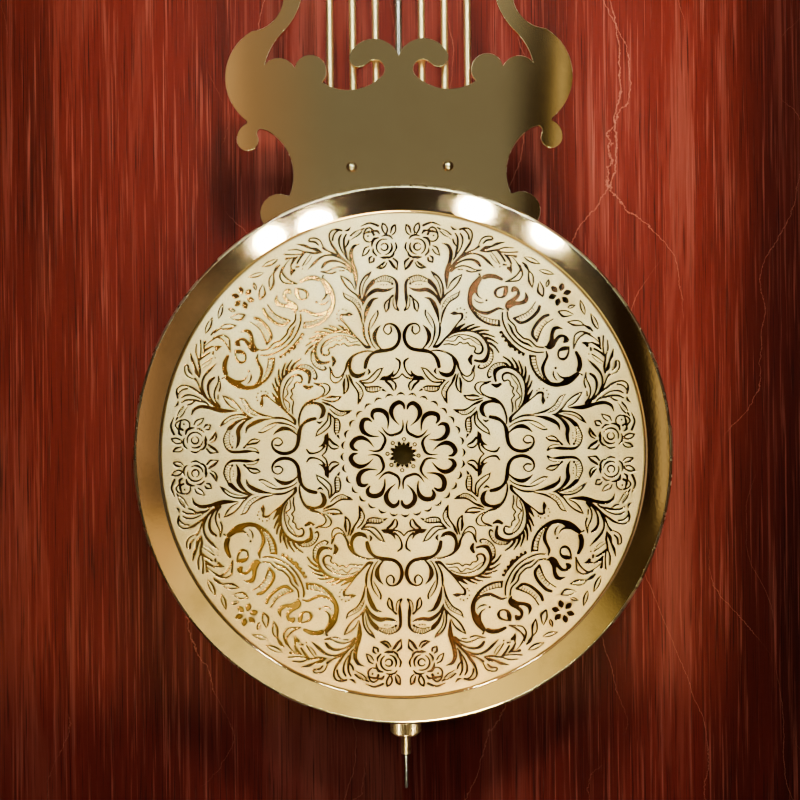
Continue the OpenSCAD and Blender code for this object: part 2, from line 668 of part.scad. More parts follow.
// Outline of a clock wheel: radial flanks and epicycloid tips, for a pinion or wheel of `mate` teeth
function wheel_outline(n, m, mate) =
    let (r = m * n / 2, q = m * mate / 4, tip = r + (mate > 20 ? 1 : 1.2) * m, half = 88 / n,
        end = q / r * acos(((r + q) * (r + q) + q * q - tip * tip) / (2 * (r + q) * q)),
        curve = [for (k = [0.4, 0.75, 1]) let (p = epicycloid(r, q, k * end)) [p.x, -p.y]])
    [for (i = [0:n - 1]) let (a = i * 360 / n) each concat(
        [polar(r - 1.5 * m, a - half), polar(r, a - half)],
        [for (p = curve) turn([p.x, -p.y], a - half)],
        [for (j = [2:-1:0]) turn(curve[j], a + half)],
        [polar(r, a + half), polar(r - 1.5 * m, a + half)])];

// Outline of a pinion: radial leaves with round tops
function pinion_outline(n, m) =
    let (r = m * n / 2, half = 72 / n, c = r * cos(half), s = r * sin(half))
    [for (i = [0:n - 1]) let (a = i * 360 / n) each concat([polar(r - 1.55 * m, a - half)],
        [for (b = [-90, -45, 0, 45, 90]) turn([c + s * cos(b), s * sin(b)], a)], [polar(r - 1.55 * m, a + half)])];

// A wheel with its teeth, rim and crossings, turned so that a tooth points along `phase`
module wheel(n, m, mate, y0, y1, hub, arms, phase) {
    rim = m * n / 2 - 1.5 * m - 1.8;
    slab(y0, y1) rotate(phase) difference() {
        polygon(wheel_outline(n, m, mate));
        if (arms > 0) for (i = [0:arms - 1]) rotate(i * 360 / arms) difference() {
            polygon(concat(arc([0, 0], rim, 0, 360 / arms, 12), arc([0, 0], hub, 360 / arms, 0, 6)));
            for (a = [0, 360 / arms]) rotate(a) translate([0, -0.9]) square([rim + 1, 1.8]);
        }
    }
}

// A pinion turned so that a gap points along `phase`
module pinion(n, m, y0, y1, phase) slab(y0, y1) rotate(phase + 180 / n) polygon(pinion_outline(n, m));

// An arbor between the plates, with a thinner pivot in each plate
module arbor(r) {
    disc(front_y + 0.3, rear_y - 0.3, r);
    disc(front_y - plate_t, front_y + 1, pivot_r);
    disc(rear_y - 1, rear_y + plate_t, pivot_r);
}

// Direction from one centre to another
function aim(a, b) = atan2(b.y - a.y, b.x - a.x);

great_y = front_y + 7;
third_y = front_y + 18;
escape_y = front_y + 35;
centre_y = front_y + 52;
cannon_y = front_y - plate_t - 8;
hour_y = cannon_y - 4.5;
hour_pipe_r = 4.2;
cannon_r = 2.6;
minute_y = dial_y - 10;
hour_hand_y = dial_y - 7;
seconds_y = dial_y - 4.5;

// The centre arbor carries the centre wheel, its pinion, and the cannon wheel with its pipe in front
module centre_arbor() color("#c8a24a") at([0, 0]) {
    disc(front_y + 0.3, rear_y - 0.3, arbor_r);
    disc(minute_y - 2.5, front_y + 1, arbor_r);
    disc(rear_y - 1, rear_y + plate_t, pivot_r);
    pinion(8, great_m, great_y - 2, great_y + 6, -90);
    wheel(60, centre_m, 8, centre_y, centre_y + 2, 5, 5, aim([0, 0], third_c));
    disc(centre_y - 2, centre_y + 3, 4.5);
    disc(minute_y, front_y - plate_t - 0.3, cannon_r);
    wheel(36, cannon_m, 36, cannon_y, cannon_y + 2, 4, 0, 0);
}

module great_wheel() color("#c8a24a") at(great_c) difference() {
    union() {
        wheel(96, great_m, 8, great_y, great_y + 2.5, 9, 6, 90);
        disc(great_y - 2, great_y + 2.5, 8);
    }
    disc(great_y - 3, great_y + 4, 3.5 + run);
}

// The barrel with its arbor, ratchet and winding square
square_w = 4.6;
module going_barrel() color("#b8934a") at(great_c) {
    disc(great_y - 4.5, rear_y - 0.3, 3.5);
    disc(front_y + 0.3, great_y - 2.3, 5.5);
    disc(front_y - plate_t - 2, front_y + 1, 3.2);
    disc(rear_y - 1, rear_y + plate_t, 2);
    slab(dial_y - 3, front_y - plate_t - 1) square(square_w, center = true);
    disc(barrel_y, barrel_y + barrel_l, barrel_r - 0.3);
    for (y = [barrel_y, barrel_y + barrel_l - 1.5]) disc(y, y + 1.5, barrel_r + 4);
    slab(barrel_y - 2, barrel_y + 0.5) polygon([for (i = [0:29]) each [polar(13.6, i * 12), polar(12, i * 12 + 1)]]);
}

// The line wound on the barrel, from its back end forward: one turn beside the next
line_turns = 14;
module barrel_line() color("#c9b48a") at(great_c) {
    start = line_y + 1.8 * line_r + line_pitch / 2;
    translate([0, start, 0]) rotate([-90, 0, 0]) rotate_extrude($fn = 64)
        polygon(concat([[barrel_r - 0.25, 0]],
            [for (i = [0:line_turns - 1]) each arc([line_c, (i + 0.5) * line_pitch], line_r, -80, 80, 4)],
            [[barrel_r - 0.25, line_turns * line_pitch]]));
}

module third_arbor() color("#c8a24a") at(third_c) {
    arbor(1.2);
    pinion(8, centre_m, centre_y - 3, centre_y + 5, aim([0, 0], third_c) + 180);
    wheel(64, third_m, 8, third_y, third_y + 1.5, 4, 5, aim(third_c, escape_c));
    disc(third_y - 1.5, third_y + 2.5, 3.5);
}

// Escape wheel with thirty teeth that lean forward, clockwise as seen from the front
lead = 3.8;
module escape_arbor() color("#c8a24a") at(escape_c) {
    root = escape_r - 3.7;
    disc(front_y + 0.3, rear_y - 0.3, 1.4);
    disc(seconds_y - 2, front_y + 1, pivot_r);
    disc(rear_y - 1, rear_y + plate_t, pivot_r);
    pinion(8, third_m, third_y - 3, third_y + 5, aim(third_c, escape_c) + 180);
    slab(escape_y, escape_y + 1.5) rotate(45 - lead) difference() {
        polygon([for (i = [0:29]) let (a = 12 * i) each [polar(root, a + 2), polar(escape_r, a - 0.2),
            polar(escape_r, a + 0.2), polar((escape_r + root) / 2, a + 2.6), polar(root, a + 7.5), polar(root, a + 10.5)]]);
        for (i = [0:4]) rotate(i * 72) difference() {
            polygon(concat(arc([0, 0], root - 2, 0, 72, 10), arc([0, 0], 4, 72, 0, 5)));
            for (a = [0, 72]) rotate(a) translate([0, -0.8]) square([root, 1.6]);
        }
    }
    disc(escape_y - 1.5, escape_y + 2.5, 3.2);
}

module minute_wheel() color("#c8a24a") at(minute_c) {
    disc(cannon_y, front_y - 0.4, pivot_r);
    wheel(36, cannon_m, 36, cannon_y, cannon_y + 2, 4, 0, 185);
    pinion(6, hour_m, hour_y - 1, cannon_y + 0.5, 180);
}

module hour_wheel() color("#c8a24a") at([0, 0]) difference() {
    union() {
        wheel(72, hour_m, 6, hour_y, hour_y + 1.5, 7, 5, 0);
        disc(hour_y - 1, hour_y + 2, 6.5);
        disc(hour_hand_y - 1.5, hour_y, hour_pipe_r);
    }
    disc(hour_hand_y - 3, hour_y + 4, cannon_r + run);
}

// The anchor spans seven and a half teeth; its pallets stand just clear of the wheel at rest
pallet_clear = 0.15;
crutch_y = rear_y + plate_t + 4;
fork_z = -106;
module anchor_crutch() color("#9a9da2") at(pallet_c) {
    centre = [0, -escape_r * sqrt(2)];
    inner = escape_r + pallet_clear;
    slab(escape_y - 1, escape_y + 2.5) union() {
        polygon(concat(arc(centre, inner + 2.6, 38, 142, 24), arc(centre, inner + 6.4, 142, 38, 24)));
        for (a = [45, 135]) translate(centre) rotate(a)
            polygon([[inner, -0.4], [inner + 1.4, -0.45], [inner + 3, -2.4], [inner + 3, 2.4], [inner + 1.4, 0.45], [inner, 0.4]]);
    }
    disc(escape_y - 3, escape_y + 4.5, 5);
    disc(front_y - plate_t, front_y + 1, pivot_r);
    disc(front_y + 0.3, cock_y - 0.3, 1.6);
    disc(cock_y - 1, cock_y + cock_t, pivot_r);
    disc(crutch_y - 2, crutch_y + 2, 4);
    bar([0, crutch_y, 0], [0, crutch_y, -58], 1.2);
    translate([0, crutch_y, -58]) sphere(r = 1.2, $fn = 24);
    bar([0, crutch_y, -58], [0, pend_y - 5.5, fork_z], 1.2);
    difference() {
        board([-6, pend_y - 6, fork_z - 2], [6, pend_y + 4, fork_z + 2]);
        board([-leader_r - 0.1, pend_y - leader_r - 0.1, fork_z - 3], [leader_r + 0.1, pend_y + 5, fork_z + 3]);
    }
}

// The back cock carries the anchor's back pivot and, on its tongue, the pendulum's spring
cock_y = rear_y + plate_t + 10;
cock_t = 4;
cock_x = 20;
tongue_z = 8;
tongue_h = 8;
module back_cock() color("#b8934a") at(pallet_c) {
    difference() {
        union() {
            board([-cock_x, cock_y, -9], [cock_x, cock_y + cock_t, 20]);
            mirrored() board([cock_x - 7, rear_y + plate_t, -9], [cock_x, cock_y, 20]);
            board([-9, cock_y + cock_t, tongue_z], [9, pend_y + 9, tongue_z + tongue_h]);
            board([-9, cock_y + cock_t, 0], [9, cock_y + cock_t + 6, tongue_z]);
        }
        disc(cock_y - 1, cock_y + cock_t + 7, pivot_r + run);
        board([-1, pend_y - 5.5, tongue_z - 1], [1, pend_y + 5.5, tongue_z + tongue_h + 1]);
    }
    difference() {
        board([-5, pend_y - 7, tongue_z + tongue_h], [5, pend_y + 7, tongue_z + tongue_h + 7]);
        board([-1, pend_y - 5.5, tongue_z + tongue_h - 1], [1, pend_y + 5.5, tongue_z + tongue_h + 3]);
    }
}

module plate_outline() polygon(concat(
    [[-plate_w / 2, -plate_below], [plate_w / 2, -plate_below], [plate_w / 2, plate_above - 14]],
    arc([plate_w / 2 - 14, plate_above - 14], 14, 0, 90, 8), arc([-plate_w / 2 + 14, plate_above - 14], 14, 90, 180, 8)));

pillar_x = bolt_x;
pillar_low = -plate_below + 12;
pillar_high = plate_above - 16;

module movement_plate(y, holes) difference() {
    slab(y, y + plate_t) plate_outline();
    for (h = holes) disc(y - 1, y + plate_t + 1, h[1] + run, h[0]);
    for (x = [-pillar_x, pillar_x], z = [pillar_low, pillar_high]) disc(y - 1, y + plate_t + 1, 2.5 + run, [x, z]);
}

module front_plate() color("#c8a24a") at([0, 0]) movement_plate(front_y - plate_t,
    [[great_c, 3.2], [[0, 0], arbor_r], [third_c, pivot_r], [escape_c, pivot_r], [pallet_c, pivot_r], [minute_c, pivot_r]]);

module back_plate() color("#c8a24a") at([0, 0]) movement_plate(rear_y,
    [[great_c, 2], [[0, 0], pivot_r], [third_c, pivot_r], [escape_c, pivot_r], [pallet_c, 5]]);

// Turned pillars riveted into the plates, and the bolts up through the seatboard
module pillars() color("#b8934a") {
    at([0, 0]) for (x = [-pillar_x, pillar_x], z = [pillar_low, pillar_high]) {
        disc(front_y - plate_t, rear_y + plate_t, 2.5, [x, z]);
        disc(front_y, rear_y, 4, [x, z]);
        for (y = [front_y, (front_y + rear_y) / 2 - 3, rear_y - 4]) disc(y, y + 4, 5.5, [x, z]);
    }
    for (x = [-bolt_x, bolt_x]) translate([x, (front_y + rear_y) / 2, seat_z - seat_t - 4]) {
        cylinder(h = seat_t + 4 + pillar_low + plate_below - 5.3, r = 2, $fn = 32);
        cylinder(h = 4, r = 6, $fn = 6);
    }
}

// The dial

module dial_plate() color("#c8a24a") difference() {
    union() {
        slab(dial_y, dial_y + dial_t) polygon(arched(dial_w / 2, dial_z - dial_w / 2, arch_z, arch_r + 4));
        at([0, 0]) for (x = [-46, 46], z = [-54, 54]) disc(dial_y + 1, front_y - plate_t, 3, [x, z]);
    }
    at([0, 0]) {
        disc(dial_y - 1, dial_y + dial_t + 1, 6);
        disc(dial_y - 1, dial_y + dial_t + 1, 5, great_c);
        disc(dial_y - 1, dial_y + dial_t + 1, 1.5, escape_c);
    }
}

seconds_r = 25;
module chapter_ring() color("#ece6d4") at([0, 0]) {
    slab(dial_y - 1.5, dial_y) difference() {
        circle(r = chapter_r, $fn = 180);
        circle(r = chapter_r - chapter_band, $fn = 180);
    }
    slab(dial_y - 1, dial_y) translate(escape_c) difference() {
        circle(r = seconds_r, $fn = 90);
        circle(r = seconds_r - 7, $fn = 90);
    }
}

// Blued steel hands: a spade for the hours, a long taper for the minutes
module hand(y0, y1, bore, hub, outline) slab(y0, y1) difference() {
    union() {
        circle(r = hub, $fn = 64);
        polygon(both_sides(outline));
    }
    circle(r = bore, $fn = 64);
}

module hour_hand() color("#1c2440") at([0, 0]) {
    r = hour_l;
    hand(hour_hand_y - 1.2, hour_hand_y, hour_pipe_r, 8, concat([[3, 0], [2, r * 0.58]],
        bow([2, r * 0.6], [9, r * 0.7], [2.2, r * 0.8], 12), [[1.6, r * 0.84], [0.3, r]]));
}

module minute_hand() color("#1c2440") at([0, 0]) {
    r = minute_l;
    hand(minute_y - 1.2, minute_y, arbor_r, 6.5, concat([[2.6, 0], [1.6, r * 0.68]],
        bow([1.6, r * 0.7], [5, r * 0.76], [1.5, r * 0.82], 10), [[1.2, r * 0.86], [0.25, r]]));
}

module seconds_hand() color("#1c2440") at(escape_c)
    hand(seconds_y - 0.8, seconds_y, pivot_r, 2.5, [[0.8, -9], [0.6, 0], [0.2, seconds_l]]);

// The driving train's weight, pulley and line

cheek_gap = 3.2;
module weight() color("#c8a24a") {
    translate([0, line_y, weight_z]) rotate_extrude($fn = 96) polygon(concat([[0, 0], [weight_r - 3, 0]],
        arc([weight_r - 3, 3], 3, -90, 0, 6), [[weight_r, weight_h - 8], [weight_r + 0.6, weight_h - 7],
        [weight_r + 0.6, weight_h - 4]], arc([weight_r - 5, weight_h - 6], 5.5, 20, 90, 6),
        [[4, weight_h], [3, weight_h + 4], [0, weight_h + 4]]));
    for (side = [-1, 1]) {
        y = line_y + side * (cheek_gap + 0.75);
        slab(y - 0.75, y + 0.75) polygon(both_sides([[0, weight_top + 4], [3, weight_top + 4], [5, pulley_z],
            [3.5, pulley_z + 5], [0, pulley_z + 6]]));
    }
    slab(line_y - cheek_gap - 1.5, line_y + cheek_gap + 1.5) translate([0, weight_top + 6]) square([10, 5], center = true);
    disc(line_y - cheek_gap - 2, line_y + cheek_gap + 2, 2, [0, pulley_z]);
}

module pulley() color("#c8a24a") translate([0, line_y, pulley_z]) rotate([90, 0, 0]) difference() {
    groove = barrel_r - 0.3;
    rotate_extrude($fn = 96) polygon(concat([[0, -2], [groove + 2.4, -2], [groove + 2.4, -1.6]],
        bow([groove + 2.2, -1.6], [groove, 0], [groove + 2.2, 1.6], 10), [[groove + 2.4, 1.6], [groove + 2.4, 2], [0, 2]]));
    cylinder(h = 6, r = 2 + run, center = true, $fn = 48);
    for (i = [0:4]) rotate(i * 72) translate([11, 0, 0]) cylinder(h = 6, r = 4, center = true, $fn = 48);
}

// The line: down from the barrel's left side, round under the pulley and up to its knot in the seatboard
module weight_line() color("#c9b48a") {
    bar([-line_c, line_y, pulley_z], [-line_c, line_y, great_z], line_r);
    bar([line_c, line_y, pulley_z], [line_c, line_y, seat_z + 2], line_r);
    translate([0, line_y, pulley_z]) rotate([-90, 0, 0]) rotate_extrude(angle = 180, $fn = 96)
        translate([line_c, 0]) circle(r = line_r, $fn = 16);
    translate([line_c, line_y, seat_z + 3.2]) sphere(r = slot_r + 1, $fn = 24);
}

skirting();
plinth_box();
back_board();
trunk_sides();
trunk_front();
waist_moulding();
throat_moulding();
seatboard();
trunk_hinge_plates();
dial_plate();
chapter_ring();
front_plate();
back_plate();
pillars();
back_cock();
trunk_door_frame();
trunk_door_glass();
trunk_door_hinges();
trunk_door_knob();
hood_sides();
hood_front();
hood_mask();
hood_columns();
hood_roof();
cornice();
pediment();
finials();
hood_hinge_plates();
hood_door_frame();
hood_door_glass();
hood_door_hinges();
hood_door_knob();
suspension_spring();
pendulum_leader();
brass_rods();
steel_rod();
rod_bridges();
lyre_plate();
lyre_rivets();
bob_shell();
bob_disc();
bob_lead();
bob_back();
rating_nut();
centre_arbor();
minute_hand();
great_wheel();
going_barrel();
barrel_line();
third_arbor();
escape_arbor();
seconds_hand();
minute_wheel();
hour_wheel();
hour_hand();
anchor_crutch();
weight();
pulley();
weight_line();
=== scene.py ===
# %% [markdown]
# # A longcase clock, seen through its trunk door
# The clock is packed as a frame of rigid pieces: case, hood, doors, movement, pendulum and weight.
# This lesson gives every piece its finish. The engraved disc of the pendulum, the line and the dial's
# figures are made here as new meshes.
# All lengths are in metres, Z is up, and the clock's front looks along -Y.

# %% Load the frame
import math

import bpy
import numpy as np
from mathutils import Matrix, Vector


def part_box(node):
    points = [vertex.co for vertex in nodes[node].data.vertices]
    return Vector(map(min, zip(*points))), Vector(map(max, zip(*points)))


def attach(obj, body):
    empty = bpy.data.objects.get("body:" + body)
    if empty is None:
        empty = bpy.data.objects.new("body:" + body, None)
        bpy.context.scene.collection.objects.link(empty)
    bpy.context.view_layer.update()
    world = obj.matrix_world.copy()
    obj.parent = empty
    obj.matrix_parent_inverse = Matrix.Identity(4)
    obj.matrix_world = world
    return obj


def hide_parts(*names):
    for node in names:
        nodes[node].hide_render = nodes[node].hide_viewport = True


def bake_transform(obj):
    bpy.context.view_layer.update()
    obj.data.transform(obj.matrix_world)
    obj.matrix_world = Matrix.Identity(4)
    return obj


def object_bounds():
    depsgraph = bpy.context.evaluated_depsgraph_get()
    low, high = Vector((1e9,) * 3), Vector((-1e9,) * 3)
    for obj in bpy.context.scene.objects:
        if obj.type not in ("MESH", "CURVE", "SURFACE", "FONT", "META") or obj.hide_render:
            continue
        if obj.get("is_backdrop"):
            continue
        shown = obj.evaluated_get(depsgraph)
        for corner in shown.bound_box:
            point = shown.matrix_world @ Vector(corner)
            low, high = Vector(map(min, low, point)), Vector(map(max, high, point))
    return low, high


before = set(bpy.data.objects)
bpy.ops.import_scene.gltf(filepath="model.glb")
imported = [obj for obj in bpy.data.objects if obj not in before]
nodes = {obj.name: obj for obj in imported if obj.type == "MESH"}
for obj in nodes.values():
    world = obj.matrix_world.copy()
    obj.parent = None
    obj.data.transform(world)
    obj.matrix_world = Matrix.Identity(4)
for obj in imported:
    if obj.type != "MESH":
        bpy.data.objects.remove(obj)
cad_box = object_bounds()
MM = 0.001


# %% Places that the frame gives
def middle(node):
    """The middle of a node's box."""
    low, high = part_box(node)
    return (low + high) / 2


disc_low, disc_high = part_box("bob_disc")
shell_low, shell_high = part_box("bob_shell")
board_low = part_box("back_board")[0]
BOB = middle("bob_shell")
BOB_R = (shell_high.x - shell_low.x) / 2
DISC_R = (disc_high.x - disc_low.x) / 2
print("bob", [round(v / MM, 1) for v in BOB], "mm, radius", round(BOB_R / MM, 1))

# %% [markdown]
# ## The camera
# The photograph looks straight at the bob from about 40 cm, a little above its middle, through the
# open part of the door. At the bob's rim one pixel of the 800 is 0.408 mm, so the lens follows from
# that width and the distance. The pendulum leans by 0.6 degrees in the picture, because the camera
# was held a little askew, so the camera gets that roll.

# %% Camera
PIXEL = 0.408 * MM
IMAGE = 800
SENSOR = 36.0
rim_distance = 394 * MM
above_bob = 52.6 * PIXEL
left_of_bob = 2.4 * PIXEL
camera_data = bpy.data.cameras.new("camera")
camera_data.sensor_width = SENSOR
camera_data.lens = SENSOR * rim_distance / (IMAGE * PIXEL)
camera = bpy.data.objects.new("camera", camera_data)
bpy.context.scene.collection.objects.link(camera)
camera.location = (BOB.x - left_of_bob, shell_high.y - rim_distance, BOB.z + above_bob)
camera.rotation_euler = (math.radians(90), math.radians(0.6), 0)
camera_data.clip_start = 0.01
bpy.context.scene.camera = camera
print("lens", round(camera_data.lens, 2), "mm")

# %% [markdown]
# ## Colours and nodes
# Colours are written as sRGB hex values, as a maker would pick them from a swatch, and one function
# makes them linear. One helper adds a node of any kind, sets its options and inputs and wires it.


# %% Helpers for materials
def linear(hex_colour):
    """The sRGB curve undone for each of the three channels of a colour such as '#c8a24a'."""
    parts = [int(hex_colour[i : i + 2], 16) / 255 for i in (1, 3, 5)]
    return [p / 12.92 if p <= 0.04045 else ((p + 0.055) / 1.055) ** 2.4 for p in parts] + [1.0]


def first_output(value):
    """A node stands for the first of its outputs that is on; anything else stays as it is."""
    if isinstance(value, bpy.types.Node):
        return next(socket for socket in value.outputs if socket.enabled)
    return value


def add(tree, kind, settings=None, stops=(), **inputs):
    """Adds a node of one kind. settings are the node's own options, and stops the (place, hex colour) pairs
    of a colour ramp. inputs are values, hex colours, or the nodes or sockets to link; i0, i1 and so on
    count the node's inputs."""
    node = tree.nodes.new("ShaderNode" + kind)
    for name, value in (settings or {}).items():
        setattr(node, name, value)
    for _ in stops[2:]:
        node.color_ramp.elements.new(0.5)
    for count, (place, colour) in enumerate(stops):
        node.color_ramp.elements[count].position = place
        node.color_ramp.elements[count].color = linear(colour)
    for name, value in inputs.items():
        key = int(name[1:]) if name[0] == "i" and name[1:].isdigit() else name.replace("_", " ")
        socket, value = node.inputs[key], first_output(value)
        if isinstance(value, bpy.types.NodeSocket):
            tree.links.new(value, socket)
        else:
            socket.default_value = linear(value) if isinstance(value, str) else value
    return node


def new_material(name):
    """An empty node material, ready for its nodes."""
    material = bpy.data.materials.new(name)
    material.use_nodes = True
    tree = material.node_tree
    tree.nodes.clear()
    return material, tree


def stretched(tree, scale):
    """Object coordinates in metres, scaled along each axis to cells per metre."""
    where = add(tree, "TexCoord").outputs["Object"]
    return add(tree, "Mapping", Vector=where, Scale=scale)


# A Mix node that mixes colours: its input 0 is the factor, 6 and 7 are the two colours.
COLOURS = {"data_type": "RGBA"}

# %% [markdown]
# ## Woods
# The case is mahogany, french polished over a red-brown stain. Behind the pendulum the back board is
# stained a stronger red. Its grain runs up and down: long dark pores, broad soft bands of colour, and
# a few thin jagged lines where the polish has crazed and lets the paler wood show.


# %% Mahogany for the case, and the red back board
PORE_TONE = "#1d0603"
CRAZE_TONE = "#c0705a"


def crazed(tree, colour, strength):
    """Two sets of thin jagged lines in the polish, more of them towards the right. With lines = x * count +
    4 * broad noise + 0.12 * fine noise, a line shows where `lines` is within `width` of a whole number, and
    only in patches where another noise passes `start`."""
    where = add(tree, "TexCoord").outputs["Object"]
    place = add(tree, "SeparateXYZ", Vector=where)
    for count, seed, width, start in ((34.0, 0.0, 0.0028, 0.53), (19.0, 3.7, 0.0016, 0.48)):
        moved = add(tree, "Mapping", Vector=stretched(tree, [5.0, 5.0, 7.0]), Location=[seed, seed, seed])
        wander = add(tree, "TexNoise", Vector=moved, Scale=1.0, Detail=2.0)
        jag = add(tree, "TexNoise", Vector=stretched(tree, [90.0] * 3), Scale=1.0, Detail=5.0, Roughness=0.75)
        lines = add(tree, "Math", {"operation": "MULTIPLY_ADD"}, i0=place.outputs["X"], i1=count, i2=seed)
        lines = add(tree, "Math", {"operation": "MULTIPLY_ADD"}, i0=wander, i1=4.0, i2=lines)
        lines = add(tree, "Math", {"operation": "MULTIPLY_ADD"}, i0=jag, i1=0.12, i2=lines)
        gap = add(tree, "Math", {"operation": "PINGPONG"}, i0=lines, i1=0.5)
        line = add(tree, "MapRange", Value=gap, From_Min=width, From_Max=width * 2.6, To_Min=1.0, To_Max=0.0)
        patches = stretched(tree, [11.0, 11.0, 5.0])
        some = add(tree, "TexNoise", Vector=patches, Scale=1.0 + seed / 9, Detail=3.0)
        biased = add(tree, "Math", {"operation": "MULTIPLY_ADD"}, i0=place.outputs["X"], i1=0.45, i2=some)
        shown = add(tree, "MapRange", Value=biased, From_Min=start, From_Max=start + 0.09, To_Min=0.0,
                    To_Max=strength)
        both = add(tree, "Math", {"operation": "MULTIPLY"}, i0=line, i1=shown)
        colour = add(tree, "Mix", COLOURS, i0=both, i6=colour, i7=CRAZE_TONE)
    return colour


def mahogany(name, dark, middle_tone, light, along=2, crazing=0.0, roughness=0.28, sheen=0.5, coat=0.3):
    """Stained wood whose grain runs along one axis (0, 1 or 2). Scales are cells a metre: bands are noise
    about 60 mm wide drawn out 12 times along the grain; pores and flecks are 0.7 to 4 mm wide and drawn
    out 50 to 60 times, which is coarser than real pores, so that they show."""
    material, tree = new_material(name)

    def grain(across, lengthwise):
        """Coordinates with so many cells a metre across the grain and along it."""
        scale = [across] * 3
        scale[along] = lengthwise
        return stretched(tree, scale)

    bands = add(tree, "TexNoise", Vector=grain(16.0, 1.3), Scale=1.0, Detail=6.0, Roughness=0.62,
                Distortion=0.6)
    colour = add(tree, "ValToRGB", stops=[(0.30, dark), (0.52, middle_tone), (0.72, light)], Fac=bands)
    pores = add(tree, "TexNoise", Vector=grain(1400.0, 26.0), Scale=1.0, Detail=3.0, Roughness=0.5)
    pore_mask = add(tree, "MapRange", Value=pores, From_Min=0.30, From_Max=0.46, To_Min=0.8, To_Max=0.0)
    colour = add(tree, "Mix", COLOURS, i0=pore_mask, i6=colour, i7=PORE_TONE)
    for across, lengthwise, start, share in ((900.0, 14.0, 0.56, 0.9), (260.0, 5.0, 0.55, 0.5)):
        flecks = add(tree, "TexNoise", Vector=grain(across, lengthwise), Scale=1.0, Detail=4.0, Roughness=0.6)
        fleck_mask = add(tree, "MapRange", Value=flecks, From_Min=start, From_Max=start + 0.16, To_Min=0.0,
                         To_Max=share)
        colour = add(tree, "Mix", COLOURS, i0=fleck_mask, i6=colour, i7=light)
    if crazing:
        colour = crazed(tree, colour, crazing)
    bump = add(tree, "Bump", {"invert": True}, Height=pore_mask, Strength=0.25, Distance=0.15 * MM)
    shader = add(tree, "BsdfPrincipled", Base_Color=colour, Roughness=roughness, Normal=bump,
                 Coat_Weight=coat, Coat_Roughness=0.12, Specular_IOR_Level=sheen)
    add(tree, "OutputMaterial", Surface=shader)
    return material


# French polish over a red-brown stain: deep and glossy, with the grain glowing through.
case_wood = mahogany("french_polished_mahogany", "#3a120a", "#5e2414", "#7e3820")
# The same on rails and mouldings, whose grain runs across.
case_wood_across = mahogany("french_polished_mahogany_rails", "#3a120a", "#5e2414", "#7e3820", along=0)
# A strong red stain under a thin worn polish: nearly matt, with thin lines where the polish crazed.
board_wood = mahogany("red_stained_mahogany", "#300803", "#5a160f", "#8c4236", crazing=0.4, roughness=0.6,
                      sheen=0.12, coat=0.0)
# Wood stained black and rubbed down: dull, with hardly any figure.
mask_wood = mahogany("ebonised_mask_wood", "#140805", "#20100b", "#301a12", roughness=0.35)
# Waxed oak: pale brown, with a soft shine.
oak = mahogany("waxed_oak", "#6a4626", "#8a6238", "#a87c4c", along=0, roughness=0.6)

# %% [markdown]
# ## Brass, steel and silver
# Clock brass is an alloy of copper and zinc. Polished and lacquered it is a mirror with a warm tint;
# drawn rods keep fine lines along them; a turned piece keeps faint rings. A metal keeps the default
# index of refraction, because its colour and the metallic setting say how it reflects.


# %% Metals
def metal(name, colour, roughness, stain="#5a4420", stain_share=0.25, scale=90.0, grain=None, bump=0.0):
    """Polished metal with cloudy tarnish, `scale` clouds a metre, and fine lines if `grain` gives their
    cells a metre. The tarnish also dulls the polish, from 0.8 to 1.5 times the roughness."""
    material, tree = new_material(name)
    cloud = add(tree, "TexNoise", Vector=stretched(tree, [scale] * 3), Scale=1.0, Detail=5.0, Roughness=0.6)
    share = add(tree, "MapRange", Value=cloud, From_Min=0.42, From_Max=0.75, To_Min=0.0, To_Max=stain_share)
    tint = add(tree, "Mix", COLOURS, i0=share, i6=colour, i7=stain)
    rough = add(tree, "MapRange", Value=cloud, From_Min=0.3, From_Max=0.8, To_Min=roughness * 0.8,
                To_Max=roughness * 1.5)
    lines = add(tree, "TexNoise", Vector=stretched(tree, grain or [900.0] * 3), Scale=1.0, Detail=2.0)
    relief = add(tree, "Bump", Height=lines, Strength=bump, Distance=0.05 * MM)
    shader = add(tree, "BsdfPrincipled", Base_Color=tint, Metallic=1.0, Roughness=rough, Normal=relief)
    add(tree, "OutputMaterial", Surface=shader)
    return material


# Cells a metre of the lines that a drawing die leaves along a rod, 0.4 mm wide.
DRAWN = [2500.0, 2500.0, 60.0]
# Cast, filed and lacquered: a soft warm shine.
hinge_brass = metal("lacquered_hinge_brass", "#c9a04e", 0.22, bump=0.1)
# Clock plates and wheels, polished one way: fine lines draw the highlights out.
movement_brass = metal("polished_clock_brass", "#d2ad5c", 0.20, bump=0.15, grain=[200.0, 1500.0, 1500.0])
# Drawn rods: pale and bright, with lines along them.
rod_brass = metal("bright_drawn_brass", "#ffe8ac", 0.34, stain="#f0d090", grain=DRAWN, bump=0.15)
# Rolled sheet polished to a mirror: it shows the room ahead.
lyre_brass = metal("mirror_polished_sheet_brass", "#fbd9a4", 0.06, stain="#dcb478", stain_share=0.3,
                   scale=24.0, bump=0.015)
# Edges rubbed with a burnisher: thin bright lines.
arris_brass = metal("burnished_edge_brass", "#f2e2b8", 0.25, stain="#c8a868", scale=60.0)
# Small domed heads, tumbled bright: each holds one highlight.
rivet_brass = metal("bright_rivet_brass", "#f6e7b8", 0.20, stain="#c8a45a", scale=500.0)
# Spun over a form and polished to a mirror, with faint brown clouds in the old lacquer.
rim_brass = metal("spun_polished_brass", "#dcb88c", 0.035, stain="#6a5226", stain_share=0.55, scale=26.0,
                  bump=0.04)
# Knurled and often touched: broken highlights on a duller brass.
nut_brass = metal("knurled_nut_brass", "#e0c8a0", 0.30, stain="#8a7048", stain_share=0.4, scale=600.0,
                  bump=0.2)
